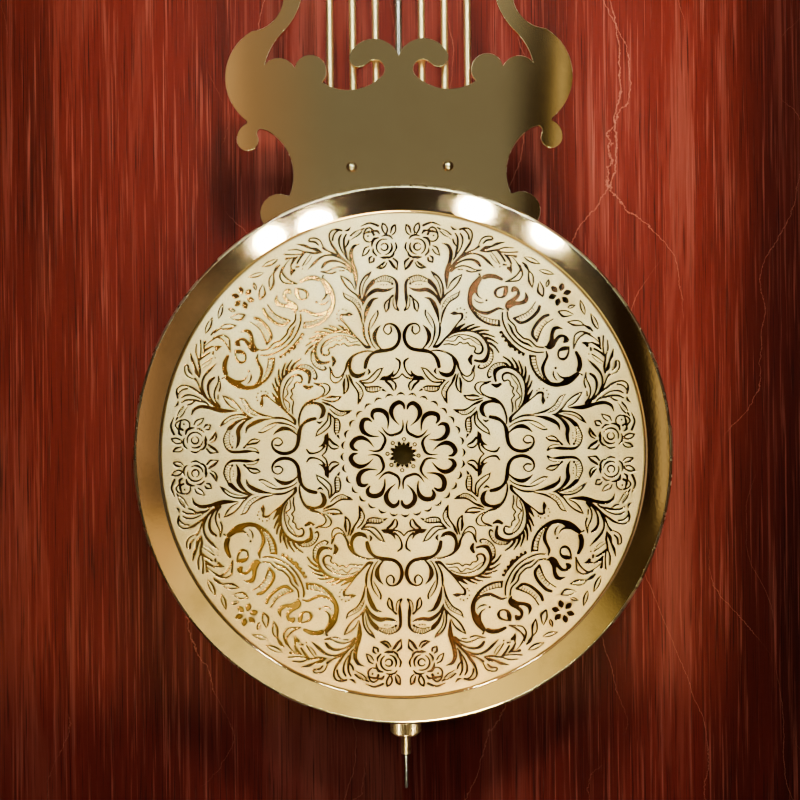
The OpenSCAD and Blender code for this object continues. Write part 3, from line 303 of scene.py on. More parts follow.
# Spun shell: faint rings round it.
weight_brass = metal("spun_weight_brass", "#d8b464", 0.12, grain=[30.0, 30.0, 2500.0], bump=0.12)
# Drawn and polished steel: cool grey beside the brass.
steel = metal("polished_spring_steel", "#a9a8a6", 0.22, stain="#55534f", scale=140.0, grain=DRAWN, bump=0.1)
# Steel blued over a flame: dark blue that turns violet in places.
blued_steel = metal("heat_blued_steel", "#1f2c66", 0.24, stain="#3a2356", scale=120.0)
# The back of the bob, left as it was rolled: dark and dull.
raw_brass = metal("raw_dark_brass", "#4a3a20", 0.5, stain="#1c140a", stain_share=0.6, scale=80.0, bump=0.3)
# Lead as it was cast: grey and rough.
lead = metal("cast_lead", "#6e7074", 0.55, stain="#45474a", scale=200.0, bump=0.5)
# Brass rubbed with silver salts: white, with a dull satin.
silver = metal("silvered_brass", "#e6e2d4", 0.38, stain="#b9b09a", stain_share=0.2, scale=60.0, bump=0.2)
# Brass matted with small punch marks: a grainy gold.
matted_brass = metal("matted_dial_brass", "#cda85a", 0.42, stain="#8a6c34", scale=50.0,
                     grain=[1600.0] * 3, bump=0.8)


# %% [markdown]
# ## Clear glass
# The door panes are 3 mm drawn glass. A thin pane hardly bends light, so it is made of a clear
# shader with a sheen that grows at grazing angles. Light and shadow pass it as if it weren't there.


# %% Glass
def clear_glass():
    """Transparent, with a sharp gloss that grows beyond 45 degrees; only camera rays see the gloss."""
    material, tree = new_material("clear_drawn_glass")
    clear = add(tree, "BsdfTransparent", Color="#f7faf8")
    gloss = add(tree, "BsdfGlossy", Color="#ffffff", Roughness=0.02)
    facing = add(tree, "LayerWeight", Blend=0.5).outputs["Facing"]
    sheen = add(tree, "MapRange", Value=facing, From_Min=0.3, From_Max=1.0, To_Min=0.0, To_Max=0.6)
    path = add(tree, "LightPath")
    seen = add(tree, "Math", {"operation": "MULTIPLY"}, i0=sheen, i1=path.outputs["Is Camera Ray"])
    add(tree, "OutputMaterial", Surface=add(tree, "MixShader", Fac=seen, i1=clear, i2=gloss))
    return material


glass = clear_glass()

# %% [markdown]
# ## The engraved disc
# The front of the bob is a brass disc with an etched ornament: scrolls, acanthus leaves, roses and
# flowers. An etcher covers the brass with a resist, leaves the strokes bare, and acid eats them down.
# The ground is then brushed to a pale satin, and the sunk strokes stay smooth; their dark colour here is a
# painted reflection.
# A texture could fake this, but a real step in the surface catches light at its edges. So the front
# is a fine grid of points, and each point's depth comes from its distance to the nearest stroke.
# The ornament repeats: one half of an axis is drawn, mirrored about it and turned to the four axes.
# Points are (across from the axis, up from the disc's centre) in millimetres.


# %% Helpers that draw strokes
def spline(points, steps=6):
    """A Catmull-Rom curve through the points: each stretch is a cubic whose slope at a point is half
    the step between that point's two neighbours."""
    p = np.array(points, float)
    p = np.vstack([2 * p[0] - p[1], p, 2 * p[-1] - p[-2]])
    t = np.linspace(0, 1, steps, endpoint=False)[None, :, None]
    a, b, c, d = (p[i : len(p) - 3 + i][:, None] for i in range(4))
    curve = 0.5 * (2 * b + (c - a) * t + (2 * a - 5 * b + 4 * c - d) * t**2 + (3 * b - a - 3 * c + d) * t**3)
    return np.vstack([curve.reshape(-1, p.shape[1]), p[-2]])


def taper(points, *widths):
    """A brush stroke: a curve through the points; its half widths spread evenly along it."""
    curve = spline(points)
    along = np.linspace(0, 1, len(curve))
    half = np.interp(along, np.linspace(0, 1, len(widths)), widths)
    return [np.column_stack([curve, half])]


def leaf(base, tip, half, dark=0.30, light=0.16):
    """Two arcs from base to tip, each half a sine wave to one side; one is cut deeper than the other."""
    base, tip = np.array(base, float), np.array(tip, float)
    across = np.array([tip[1] - base[1], base[0] - tip[0]]) / np.linalg.norm(tip - base)
    t = np.linspace(0, 1, 9)[:, None]
    middle_line = base + t * (tip - base)
    bulge = half * np.sin(np.pi * t**0.85) * across
    width = 0.4 + 0.6 * np.sin(np.pi * t)
    return [np.hstack([middle_line + bulge, dark * width]), np.hstack([middle_line - bulge, light * width])]


def arc(centre, radius, start, end, *widths):
    """Part of a circle, with angles in degrees from the across axis towards the up axis."""
    turn = np.radians(np.linspace(start, end, 14))
    half = np.interp(np.linspace(0, 1, 14), np.linspace(0, 1, len(widths)), widths)
    return [np.column_stack([centre[0] + radius * np.cos(turn), centre[1] + radius * np.sin(turn), half])]


def ribs(points, reach, count, half=0.13):
    """Short cuts square to a curve, all to its left, like the ribs on the back of an acanthus leaf."""
    curve = spline(points)
    place = np.linspace(0, len(curve) - 1.001, count)
    low = place.astype(int)
    foot = curve[low] + (place - low)[:, None] * (curve[low + 1] - curve[low])
    way = curve[low + 1] - curve[low]
    side = np.column_stack([-way[:, 1], way[:, 0]]) / np.linalg.norm(way, axis=1)[:, None]
    return [np.array([[*f, half], [*(f + reach * s), half * 0.8]]) for f, s in zip(foot, side)]


def dots(half, *places):
    """Small round pits."""
    return [np.array([[x, z, half], [x + 0.1, z, half]]) for x, z in places]


# %% The strokes beside the axis: scroll, stems and bud
scroll = [
    *taper([(4.3, 50.2), (4.1, 48.6), (5.2, 47.3), (6.6, 48.0), (7.1, 49.4), (6.2, 51.0), (4.4, 51.4),
            (2.4, 50.4), (1.1, 48.0), (1.0, 45.5), (1.9, 43.2), (3.8, 41.6), (6.4, 41.0), (9.2, 40.7),
            (11.4, 39.9), (13.0, 38.5), (14.0, 36.6), (14.5, 34.4)],
           0.35, 0.4, 0.28, 0.25, 0.25, 0.35, 0.4, 0.55, 0.75, 0.7, 0.7, 0.75, 0.8, 0.85, 0.6, 0.65, 0.85,
           0.7),
    *taper([(8.4, 50.8), (9.8, 49.2), (10.7, 47.2), (10.6, 45.2), (9.6, 43.2), (8.3, 41.7)],
           0.15, 0.6, 0.9, 0.75, 0.45, 0.3),
    *taper([(9.4, 56.5), (9.3, 55.0), (10.4, 52.6), (11.6, 50.6), (12.2, 49.6)], 0.35, 0.3, 0.2, 0.15, 0.1),
    *taper([(10.2, 55.8), (12.0, 53.2), (12.9, 50.4), (12.9, 47.8), (12.3, 45.0), (11.4, 43.0),
            (10.4, 41.8)], 0.12, 0.2, 0.3, 0.45, 0.3, 0.25, 0.2),
    *taper([(9.2, 61.6), (11.2, 61.0), (12.6, 59.2), (13.7, 56.6), (14.3, 54.2), (14.6, 52.0)],
           0.2, 0.6, 0.9, 0.85, 0.5, 0.2),
    *taper([(14.9, 51.6), (15.0, 49.4), (14.7, 46.8), (13.8, 44.6), (12.5, 42.4)],
           0.2, 0.5, 0.45, 0.35, 0.3),
    *taper([(22.9, 64.0), (22.2, 62.0), (20.6, 60.8), (19.0, 59.8), (17.6, 58.0), (16.5, 56.0),
            (15.9, 54.0), (15.4, 51.2)], 0.2, 0.3, 0.3, 0.25, 0.3, 0.5, 0.4, 0.15),
    *ribs([(16.2, 58.2), (17.8, 60.4), (20.0, 61.6)], -0.8, 6, 0.16),
    *taper([(15.8, 57.0), (16.4, 59.0), (17.8, 61.0), (20.2, 62.4), (22.8, 63.6)],
           0.15, 0.18, 0.16, 0.14, 0.12),
]
bud = [
    *taper([(2.4, 37.8), (1.0, 36.6), (1.0, 34.4), (2.0, 32.2), (3.6, 30.8)], 0.3, 0.5, 0.35, 0.3, 0.5),
    *taper([(0.0, 31.8), (1.6, 30.3), (4.2, 29.7), (6.6, 29.9)], 0.25, 0.35, 0.5, 0.9),
    *taper([(3.4, 33.0), (4.2, 31.4), (5.8, 30.2), (7.4, 30.0), (8.9, 29.4)], 0.15, 0.6, 0.9, 0.9, 0.15),
    *taper([(4.2, 29.2), (2.9, 28.2), (2.5, 26.8), (2.9, 25.4)], 0.3, 0.4, 0.4, 0.2),
    *taper([(6.4, 28.8), (4.8, 27.4), (4.0, 26.0), (3.4, 25.2)], 0.5, 0.55, 0.4, 0.2),
    *taper([(7.4, 34.2), (9.6, 33.4), (11.6, 31.4), (13.8, 29.6), (16.6, 29.2)], 0.2, 0.3, 0.35, 0.35, 0.3),
    *taper([(7.8, 33.8), (9.2, 31.2), (11.2, 29.0), (13.0, 28.3), (15.6, 28.4), (17.0, 29.0)],
           0.25, 0.3, 0.35, 0.35, 0.45, 0.2),
    *taper([(8.2, 26.3), (9.6, 26.8), (12.0, 26.8), (14.2, 26.7), (15.6, 27.8), (16.8, 29.0)],
           0.25, 0.35, 0.35, 0.4, 0.35, 0.2),
    *taper([(8.8, 25.2), (10.4, 24.8), (12.4, 24.7), (14.0, 25.2), (14.6, 26.4)],
           0.2, 0.35, 0.35, 0.3, 0.3),
    *taper([(6.5, 24.9), (7.6, 25.5)], 0.15, 0.5),
    *ribs([(8.8, 26.6), (13.8, 26.6)], -1.2, 6, 0.2),
]
hanging_leaves = [
    *taper([(11.6, 40.7), (14.0, 40.8), (16.6, 40.2), (18.8, 39.2), (20.6, 37.5), (21.6, 35.8),
            (22.2, 33.8), (23.2, 32.0), (24.6, 30.7), (26.0, 30.6), (27.2, 31.6), (27.8, 33.2),
            (28.4, 34.8)], 0.25, 0.4, 0.4, 0.5, 0.6, 0.6, 0.45, 0.35, 0.3, 0.3, 0.35, 0.5, 0.2),
    *taper([(14.4, 32.8), (15.6, 31.6), (17.6, 31.0), (19.4, 31.7), (20.4, 33.6), (20.6, 35.6),
            (20.0, 37.6)], 0.15, 0.75, 0.95, 0.9, 0.65, 0.6, 0.5),
    *taper([(22.8, 31.8), (24.0, 29.8), (25.8, 28.5), (27.4, 28.9), (28.2, 30.4), (28.2, 32.6),
            (28.6, 34.6)], 0.2, 0.3, 0.35, 0.28, 0.24, 0.2, 0.15),
    *taper([(13.2, 33.6), (12.8, 32.6), (13.4, 31.6)], 0.3, 0.5, 0.2),
    *taper([(18.2, 28.6), (16.6, 27.0), (15.6, 25.2), (15.5, 23.6), (16.2, 22.2)],
           0.25, 0.3, 0.22, 0.25, 0.25),
    *taper([(21.0, 31.4), (20.2, 29.6), (19.4, 27.8), (18.0, 25.8), (17.3, 24.0), (17.3, 21.8),
            (17.5, 20.0)], 0.3, 0.6, 0.4, 0.35, 0.4, 0.4, 0.2),
    *taper([(16.2, 22.0), (17.0, 21.3), (17.5, 20.0)], 0.3, 0.7, 0.2),
    *ribs([(16.5, 26.6), (16.0, 24.6), (16.5, 22.8)], 1.0, 6, 0.13),
    *taper([(22.0, 31.6), (21.4, 29.6), (21.1, 27.4), (21.7, 25.4), (23.0, 24.2)],
           0.2, 0.4, 0.4, 0.35, 0.35),
    *taper([(22.6, 30.0), (23.0, 27.8), (22.9, 25.8), (23.1, 24.3)], 0.3, 0.6, 0.4, 0.2),
]
inner_loop = [
    *taper([(1.3, 56.8), (1.9, 58.6), (1.9, 61.4), (1.7, 64.4), (1.8, 67.2), (2.8, 69.0), (4.4, 70.0),
            (6.6, 70.4), (8.6, 69.8), (10.2, 68.9)], 0.5, 0.2, 0.7, 0.6, 0.6, 0.4, 0.28, 0.25, 0.25, 0.3),
    *dots(0.5, (3.5, 67.1)),
    *taper([(4.4, 67.6), (5.6, 68.0), (7.4, 68.2), (9.8, 67.8)], 0.3, 0.16, 0.16, 0.16),
    *ribs([(3.2, 68.9), (5.4, 69.9), (7.6, 70.0), (9.6, 69.0)], -1.4, 8, 0.14),
    *dots(0.22, (5.7, 66.8), (6.9, 66.7), (7.9, 66.8)),
    *taper([(3.4, 62.4), (4.8, 61.1), (6.2, 59.8), (6.7, 58.2), (6.2, 56.1)], 0.5, 0.3, 0.35, 0.35, 0.15),
    *taper([(4.4, 61.0), (4.9, 59.2), (5.1, 57.6), (6.1, 56.1)], 0.3, 0.45, 0.45, 0.2),
    *taper([(3.2, 61.4), (3.3, 59.2), (2.6, 57.4), (1.5, 56.8)], 0.15, 0.2, 0.2, 0.3),
    *taper([(3.1, 65.6), (4.8, 64.8), (7.2, 64.5), (9.8, 64.7), (12.0, 63.6), (13.8, 61.8), (15.0, 59.4)],
           0.15, 0.55, 0.75, 0.9, 0.8, 0.5, 0.3),
    *taper([(10.6, 69.0), (11.2, 67.8), (13.0, 65.8), (14.3, 63.2), (15.1, 60.6), (15.2, 58.7)],
           0.2, 0.95, 0.75, 0.45, 0.5, 0.2),
    *taper([(11.7, 72.0), (12.6, 71.0), (14.0, 70.2), (15.4, 68.4), (16.2, 66.2), (16.4, 64.0),
            (16.3, 62.0), (15.5, 60.2)], 0.15, 0.6, 0.4, 0.35, 0.35, 0.35, 0.6, 0.3),
    *taper([(12.6, 70.2), (14.4, 67.8), (15.2, 65.2), (15.4, 63.0)], 0.25, 0.2, 0.2, 0.15),
    *taper([(18.2, 64.8), (19.4, 67.2), (21.2, 69.0), (23.9, 70.6)], 0.15, 0.28, 0.4, 0.15),
    *taper([(16.6, 61.6), (17.8, 63.0), (20.0, 64.6), (22.0, 66.8), (23.2, 69.0), (23.9, 70.6)],
           0.4, 0.35, 0.3, 0.35, 0.4, 0.15),
]
print(len(scroll + bud + hanging_leaves + inner_loop), "strokes beside the axis")

# %% The roses at the end of each axis, and the branch that runs from them along the edge
ROSE = np.array([6.5, 81.6])
roses = [
    *taper([(3.3, 84.8), (4.2, 85.8), (5.8, 86.2), (7.4, 85.8)], 0.25, 0.42, 0.4, 0.2),
    *taper([(8.8, 85.2), (10.4, 84.8), (11.2, 83.4), (11.4, 81.8)], 0.3, 0.6, 0.5, 0.2),
    *taper([(10.9, 81.0), (10.8, 79.6), (9.6, 78.2)], 0.2, 0.45, 0.3),
    *taper([(5.0, 77.6), (6.6, 77.4), (8.1, 77.5)], 0.4, 0.65, 0.2),
    *taper([(2.7, 79.6), (3.2, 78.3), (4.6, 77.4), (6.0, 77.3)], 0.3, 0.5, 0.45, 0.3),
    *taper([(2.1, 83.2), (1.7, 81.4), (2.4, 79.8)], 0.25, 0.42, 0.25),
    *arc(ROSE, 3.0, 150, 262, 0.2, 0.5, 0.2),
    *arc(ROSE, 3.1, -60, 110, 0.2, 0.42, 0.2),
    *arc(ROSE, 1.4, 30, 340, 0.2, 0.42, 0.2),
    *taper([(2.1, 90.2), (2.0, 88.2), (2.5, 87.0), (3.4, 86.3)], 0.3, 0.28, 0.32, 0.25),
    *taper([(2.4, 90.2), (3.4, 89.2), (4.0, 87.0)], 0.35, 0.5, 0.2),
    *taper([(5.6, 87.0), (5.2, 88.6), (6.0, 90.2), (7.1, 90.8)], 0.4, 0.32, 0.32, 0.4),
    *taper([(7.1, 90.9), (7.4, 89.2), (6.9, 87.8), (6.2, 86.8)], 0.3, 0.38, 0.38, 0.3),
    *taper([(8.9, 89.9), (10.2, 90.5), (11.8, 91.0), (13.0, 90.9), (15.6, 89.8)],
           0.5, 0.5, 0.42, 0.42, 0.15),
    *taper([(8.4, 86.8), (9.2, 87.8), (10.6, 88.0), (12.2, 89.2), (13.6, 88.6), (14.6, 86.8)],
           0.3, 0.55, 0.38, 0.38, 0.38, 0.3),
    *taper([(10.6, 86.4), (11.2, 87.5), (12.4, 87.6), (13.8, 87.2)], 0.5, 0.5, 0.55, 0.3),
    *arc((12.5, 85.7), 2.1, -150, 40, 0.2, 0.36, 0.3),
    *dots(0.35, (12.8, 85.9)),
    *taper([(14.4, 89.0), (15.4, 88.4)], 0.3, 0.45),
    *taper([(15.4, 87.6), (16.8, 86.2), (18.6, 85.2), (19.6, 84.4)], 0.3, 0.3, 0.16, 0.1),
    *taper([(16.0, 88.5), (18.0, 87.6), (19.8, 86.1)], 0.15, 0.32, 0.32),
    *ribs([(16.6, 87.2), (19.0, 85.8)], 0.9, 5),
    *taper([(19.7, 89.5), (20.6, 88.4), (21.8, 88.1)], 0.15, 0.5, 0.2),
    *taper([(1.4, 74.6), (1.6, 75.8), (3.0, 77.0)], 0.3, 0.5, 0.4),
    *taper([(1.6, 72.6), (3.0, 74.0), (4.2, 75.8), (4.9, 76.4)], 0.3, 0.6, 0.55, 0.2),
    *taper([(1.4, 74.6), (1.6, 72.8)], 0.25, 0.25),
    *taper([(5.5, 75.4), (6.4, 73.9), (8.0, 73.2), (9.9, 73.4)], 0.2, 0.38, 0.45, 0.15),
    *taper([(6.4, 75.8), (7.6, 74.6), (9.6, 73.6)], 0.3, 0.6, 0.2),
    *taper([(10.6, 77.2), (10.8, 76.0), (12.4, 75.4)], 0.35, 0.42, 0.3),
    *taper([(11.4, 78.0), (12.4, 77.2), (12.5, 75.6)], 0.25, 0.5, 0.25),
    *taper([(12.4, 80.5), (13.4, 79.0), (15.2, 78.0)], 0.3, 0.3, 0.2),
    *taper([(12.6, 81.9), (14.2, 81.0), (15.2, 78.2)], 0.25, 0.4, 0.2),
]
branch = [
    *taper([(17.8, 65.0), (17.8, 68.0), (17.9, 70.6), (18.5, 73.2), (19.1, 75.4), (19.6, 78.0),
            (19.5, 80.0), (18.4, 82.0), (16.2, 82.9)], 0.15, 0.65, 0.95, 0.95, 0.7, 0.8, 0.7, 0.6, 0.15),
    *taper([(21.4, 86.7), (22.3, 84.8), (22.3, 82.0), (21.8, 79.6), (21.4, 77.6), (20.4, 76.2)],
           0.3, 0.42, 0.45, 0.5, 0.45, 0.3),
    *taper([(20.4, 84.4), (20.8, 83.0), (21.8, 81.6)], 0.3, 0.42, 0.3),
    *taper([(23.4, 86.6), (24.2, 85.0), (24.2, 82.8), (23.4, 80.6), (22.2, 78.6)],
           0.3, 0.42, 0.32, 0.3, 0.25),
    *taper([(23.2, 88.2), (25.0, 88.6), (26.8, 88.4), (28.0, 86.8), (27.9, 84.6), (27.0, 82.4),
            (25.6, 80.4), (24.2, 78.4), (22.8, 76.8), (21.2, 75.2), (19.6, 73.2)],
           0.4, 0.5, 0.32, 0.32, 0.35, 0.5, 0.5, 0.45, 0.55, 0.55, 0.6),
    *taper([(24.4, 88.2), (25.6, 87.4), (26.5, 86.0), (26.8, 84.4)], 0.3, 0.32, 0.32, 0.4),
    *taper([(24.0, 77.9), (26.4, 79.2), (28.8, 80.2), (30.6, 81.4)], 0.45, 0.4, 0.32, 0.5),
    *taper([(30.6, 82.2), (31.6, 84.2), (33.2, 85.2), (35.4, 85.3), (36.2, 84.4)],
           0.2, 0.25, 0.34, 0.28, 0.3),
    *taper([(32.4, 82.6), (33.8, 83.8), (35.8, 84.0)], 0.3, 0.45, 0.4),
    *taper([(31.0, 79.7), (33.2, 80.8), (35.6, 81.4), (37.8, 82.4), (40.7, 83.0)],
           0.2, 0.8, 0.4, 0.6, 0.15),
    *taper([(31.4, 79.6), (34.0, 79.4), (36.4, 79.8), (38.4, 79.9)], 0.3, 0.5, 0.4, 0.5),
    *taper([(38.8, 80.3), (41.0, 80.9), (44.2, 80.7)], 0.3, 0.32, 0.2),
    *taper([(39.0, 79.2), (42.0, 78.9), (45.8, 79.1)], 0.32, 0.28, 0.32),
    *taper([(38.2, 79.4), (39.6, 77.6), (40.8, 75.5)], 0.5, 0.45, 0.4),
    *taper([(40.8, 78.0), (42.0, 77.0), (43.3, 74.6)], 0.4, 0.6, 0.35),
    *taper([(41.8, 77.8), (44.0, 77.6), (45.0, 77.3)], 0.35, 0.4, 0.6),
    *taper([(43.4, 77.4), (45.0, 75.6), (46.2, 73.8)], 0.15, 0.18, 0.38),
    *taper([(35.6, 79.0), (37.0, 77.2), (38.4, 75.0)], 0.15, 0.16, 0.28),
    *taper([(35.0, 78.2), (36.0, 76.4), (37.6, 74.8)], 0.14, 0.14, 0.12),
    *taper([(40.2, 74.2), (41.2, 74.1)], 0.4, 0.35),
    *dots(0.25, (38.6, 74.6), (38.7, 73.3)),
    *taper([(22.4, 76.6), (24.6, 77.6), (27.0, 78.6), (29.6, 78.5), (32.0, 77.4), (34.2, 75.4),
            (36.6, 73.0)], 0.4, 0.32, 0.4, 0.38, 0.5, 0.6, 0.12),
    *taper([(20.0, 72.9), (21.6, 74.6), (23.9, 75.8), (26.0, 76.3), (28.2, 76.2), (30.0, 75.2),
            (31.0, 73.8)], 0.5, 0.5, 0.35, 0.5, 0.55, 0.65, 0.5),
    *taper([(19.6, 72.0), (21.6, 73.2), (24.2, 73.9), (26.8, 73.3), (29.0, 72.3), (31.6, 72.2)],
           0.6, 0.35, 0.32, 0.32, 0.28, 0.2),
    *taper([(22.4, 72.5), (24.2, 72.4)], 0.3, 0.2),
    *taper([(25.7, 71.9), (27.4, 71.4), (29.4, 71.6), (31.6, 72.1)], 0.35, 0.32, 0.28, 0.2),
    *leaf((48.4, 77.1), (54.6, 74.3), 0.8, 0.4, 0.25),
    *taper([(47.8, 74.8), (49.2, 73.6), (50.0, 71.8)], 0.4, 0.45, 0.3),
    *leaf((54.2, 71.9), (60.0, 70.2), 0.7, 0.3, 0.22),
    *leaf((57.0, 65.2), (57.9, 68.2), 0.5, 0.35, 0.25),
]
print(len(roses + branch), "strokes at the edge")

# %% The double scroll, the arches and the plumes by the diagonal
double_scroll = [
    *taper([(30.9, 68.8), (29.2, 66.6), (28.0, 64.6), (27.0, 62.2), (26.8, 60.0), (27.4, 57.6),
            (28.8, 55.0), (31.2, 52.5), (34.6, 50.8), (38.4, 50.2)],
           0.9, 1.3, 1.4, 0.9, 0.9, 0.85, 0.6, 0.5, 0.5, 0.45),
    *taper([(29.2, 65.6), (29.4, 63.4), (30.2, 61.8), (31.6, 60.8)], 0.9, 0.5, 0.3, 0.15),
    *taper([(28.5, 60.8), (29.6, 59.8), (31.0, 59.3), (32.2, 59.4)], 0.15, 0.3, 0.35, 0.15),
    *dots(0.45, (33.3, 60.2)),
    *taper([(27.6, 58.4), (29.2, 56.6), (31.2, 55.5), (33.6, 55.2), (35.8, 56.0), (38.0, 57.0),
            (40.0, 56.6)], 0.3, 0.5, 0.65, 0.75, 0.6, 0.55, 0.25),
    *taper([(28.6, 56.2), (31.0, 54.3), (34.8, 52.9), (38.2, 52.4)], 0.12, 0.16, 0.2, 0.2),
    *taper([(38.2, 52.4), (38.3, 50.2)], 0.3, 0.4),
    *ribs([(29.4, 55.4), (32.0, 53.6), (35.0, 52.8), (38.0, 52.4)], -1.7, 9, 0.17),
    *taper([(32.6, 69.3), (34.4, 69.8), (37.0, 69.5), (39.4, 68.4)], 0.95, 0.95, 0.9, 0.6),
    *taper([(30.6, 70.6), (31.2, 69.7)], 0.4, 0.15),
    *taper([(41.6, 65.5), (39.6, 65.4), (37.6, 64.6), (36.8, 63.2), (37.4, 61.7), (39.0, 61.3),
            (40.4, 62.0), (41.0, 63.6), (41.2, 65.2)], 0.3, 0.35, 0.5, 0.6, 0.35, 0.32, 0.6, 0.95, 0.7),
    *taper([(41.0, 67.4), (43.6, 68.6), (45.6, 70.2), (46.8, 72.2), (46.2, 73.8)],
           0.3, 0.32, 0.32, 0.38, 0.32),
    *taper([(41.2, 67.4), (44.0, 67.6), (46.2, 68.0), (47.5, 69.8), (47.4, 71.6), (46.6, 73.8)],
           0.2, 0.3, 0.3, 0.32, 0.4, 0.4),
    *taper([(42.0, 72.8), (42.9, 72.2), (43.2, 70.7)], 0.6, 0.75, 0.15),
    *taper([(43.2, 74.4), (43.0, 72.6)], 0.2, 0.5),
    *taper([(48.6, 73.6), (50.0, 71.6), (50.0, 69.6), (50.2, 67.4), (51.4, 65.0)],
           0.4, 0.28, 0.32, 0.5, 0.2),
    *taper([(49.8, 72.0), (51.6, 70.0), (51.9, 67.6), (51.4, 65.0)], 0.2, 0.25, 0.28, 0.2),
    *taper([(54.0, 66.8), (53.6, 64.8), (53.7, 63.2), (55.4, 61.6)], 0.15, 0.3, 0.5, 0.4),
    *taper([(54.4, 67.4), (55.8, 64.6), (55.7, 61.8)], 0.15, 0.28, 0.3),
    *taper([(43.6, 63.8), (44.4, 64.6), (45.8, 63.8), (45.8, 62.0), (44.2, 60.4), (42.4, 59.0),
            (41.6, 57.8), (42.0, 55.9)], 0.5, 1.1, 0.55, 0.7, 0.8, 1.2, 1.0, 0.15),
    *taper([(48.7, 63.2), (49.2, 61.2), (48.6, 59.8), (46.6, 59.0), (44.2, 58.8), (42.4, 57.6)],
           0.15, 0.7, 0.9, 0.75, 0.9, 0.7),
    *taper([(39.6, 55.4), (39.6, 52.8), (40.4, 50.0), (41.8, 47.2), (43.2, 45.2), (44.4, 43.9)],
           0.3, 0.36, 0.36, 0.36, 0.36, 0.36),
    *taper([(41.5, 55.5), (41.9, 52.9), (43.4, 51.2), (44.6, 49.8), (45.2, 47.8), (46.8, 46.0)],
           0.32, 0.34, 0.36, 0.36, 0.36, 0.36),
    *taper([(41.6, 51.2), (42.8, 49.4), (43.6, 47.4), (45.2, 45.3)], 0.15, 0.5, 0.5, 0.38),
    *taper([(39.2, 48.0), (40.0, 46.4), (41.2, 44.8), (42.4, 43.0)], 0.3, 0.4, 0.5, 0.8),
    *dots(0.6, (38.8, 47.6), (39.5, 46.0), (40.7, 44.4), (42.0, 42.6)),
    *taper([(44.2, 52.9), (46.2, 51.4), (48.4, 51.6), (51.0, 53.2), (53.4, 55.6), (54.2, 57.6)],
           0.5, 0.65, 0.62, 0.66, 0.7, 0.6),
    *taper([(44.0, 53.0), (46.4, 54.0), (49.0, 55.2), (51.0, 57.0), (52.6, 59.4)],
           0.5, 0.3, 0.22, 0.22, 0.22),
    *ribs([(45.8, 53.6), (48.6, 55.0), (51.2, 57.2)], -1.4, 7, 0.16),
]
plumes = [
    *taper([(12.6, 42.3), (13.9, 42.4), (15.2, 43.4), (17.0, 45.4), (18.9, 47.3), (20.6, 49.5),
            (22.4, 51.8), (23.7, 53.4), (23.6, 55.0), (22.4, 55.1)],
           0.6, 0.7, 0.5, 0.4, 0.4, 0.35, 0.28, 0.5, 0.55, 0.4),
    *taper([(19.0, 55.1), (20.6, 55.3), (21.8, 55.1)], 0.1, 0.8, 0.5),
    *dots(0.28, (21.8, 56.9), (23.1, 57.3), (24.6, 56.7), (25.4, 55.4), (25.3, 53.7), (24.6, 52.8)),
    *taper([(19.2, 47.6), (21.5, 48.9), (23.2, 50.1), (24.8, 51.1)], 0.4, 0.9, 0.6, 0.25),
    *taper([(21.6, 48.3), (24.2, 48.8), (26.2, 50.0), (28.4, 50.9)], 0.4, 0.7, 0.5, 0.3),
    *taper([(24.4, 48.2), (26.8, 48.8), (28.8, 49.6), (30.6, 49.9)], 0.35, 0.6, 0.45, 0.3),
    *taper([(28.0, 47.9), (30.2, 48.2), (32.0, 48.5), (34.0, 48.4)], 0.35, 0.6, 0.42, 0.32),
    *taper([(30.4, 47.1), (32.4, 47.1), (34.2, 46.6), (36.4, 45.8)], 0.3, 0.55, 0.42, 0.28),
    *taper([(31.8, 45.4), (33.4, 45.4), (35.4, 44.7), (37.6, 43.2)], 0.4, 0.65, 0.45, 0.28),
    *taper([(33.0, 43.8), (34.8, 43.2), (36.6, 41.8), (38.0, 39.8)], 0.4, 0.6, 0.45, 0.3),
    *taper([(33.9, 42.2), (35.2, 40.8), (35.8, 39.4)], 0.4, 0.55, 0.25),
    *taper([(17.4, 45.6), (19.4, 47.2), (22.0, 48.0), (25.0, 48.3), (28.4, 47.9), (31.2, 46.4),
            (33.2, 44.0), (34.0, 41.4), (33.8, 38.9), (32.6, 36.7), (30.6, 36.3), (28.6, 36.7)],
           0.35, 0.45, 0.4, 0.32, 0.38, 0.5, 0.6, 0.55, 0.7, 0.95, 0.6, 0.5),
    *taper([(27.3, 38.5), (26.6, 37.0), (27.2, 35.2)], 0.6, 0.85, 0.4),
    *taper([(18.3, 45.5), (20.6, 46.5), (23.4, 46.9), (26.4, 46.4), (29.2, 45.2), (31.0, 43.4),
            (31.7, 41.4), (31.2, 39.8), (29.8, 39.3), (28.5, 40.0), (28.9, 41.4), (28.2, 42.3)],
           0.22, 0.24, 0.26, 0.26, 0.3, 0.38, 0.5, 0.5, 0.4, 0.36, 0.3, 0.26),
    *taper([(16.4, 43.1), (18.6, 43.3), (21.2, 42.8), (22.8, 43.9), (24.2, 43.2), (25.8, 43.6),
            (26.8, 42.5), (28.2, 42.3)], 0.25, 0.32, 0.24, 0.28, 0.22, 0.32, 0.26, 0.3),
    *taper([(17.2, 44.6), (20.5, 44.4), (22.0, 46.0), (23.0, 46.0), (24.5, 44.9), (26.4, 45.4),
            (28.0, 44.4), (29.6, 43.2), (31.1, 42.5)], 0.2, 0.22, 0.3, 0.22, 0.22, 0.2, 0.16, 0.14, 0.12),
    *taper([(35.6, 39.6), (35.7, 37.6), (34.8, 35.6), (33.2, 34.2), (31.2, 33.5), (29.9, 34.0),
            (30.4, 34.9)], 0.2, 0.22, 0.24, 0.26, 0.36, 0.4, 0.3),
    *ribs([(34.5, 40.2), (34.7, 38.0), (33.7, 36.0), (32.0, 34.8)], 1.0, 8, 0.16),
]
flower = np.array([62.2, 62.2])
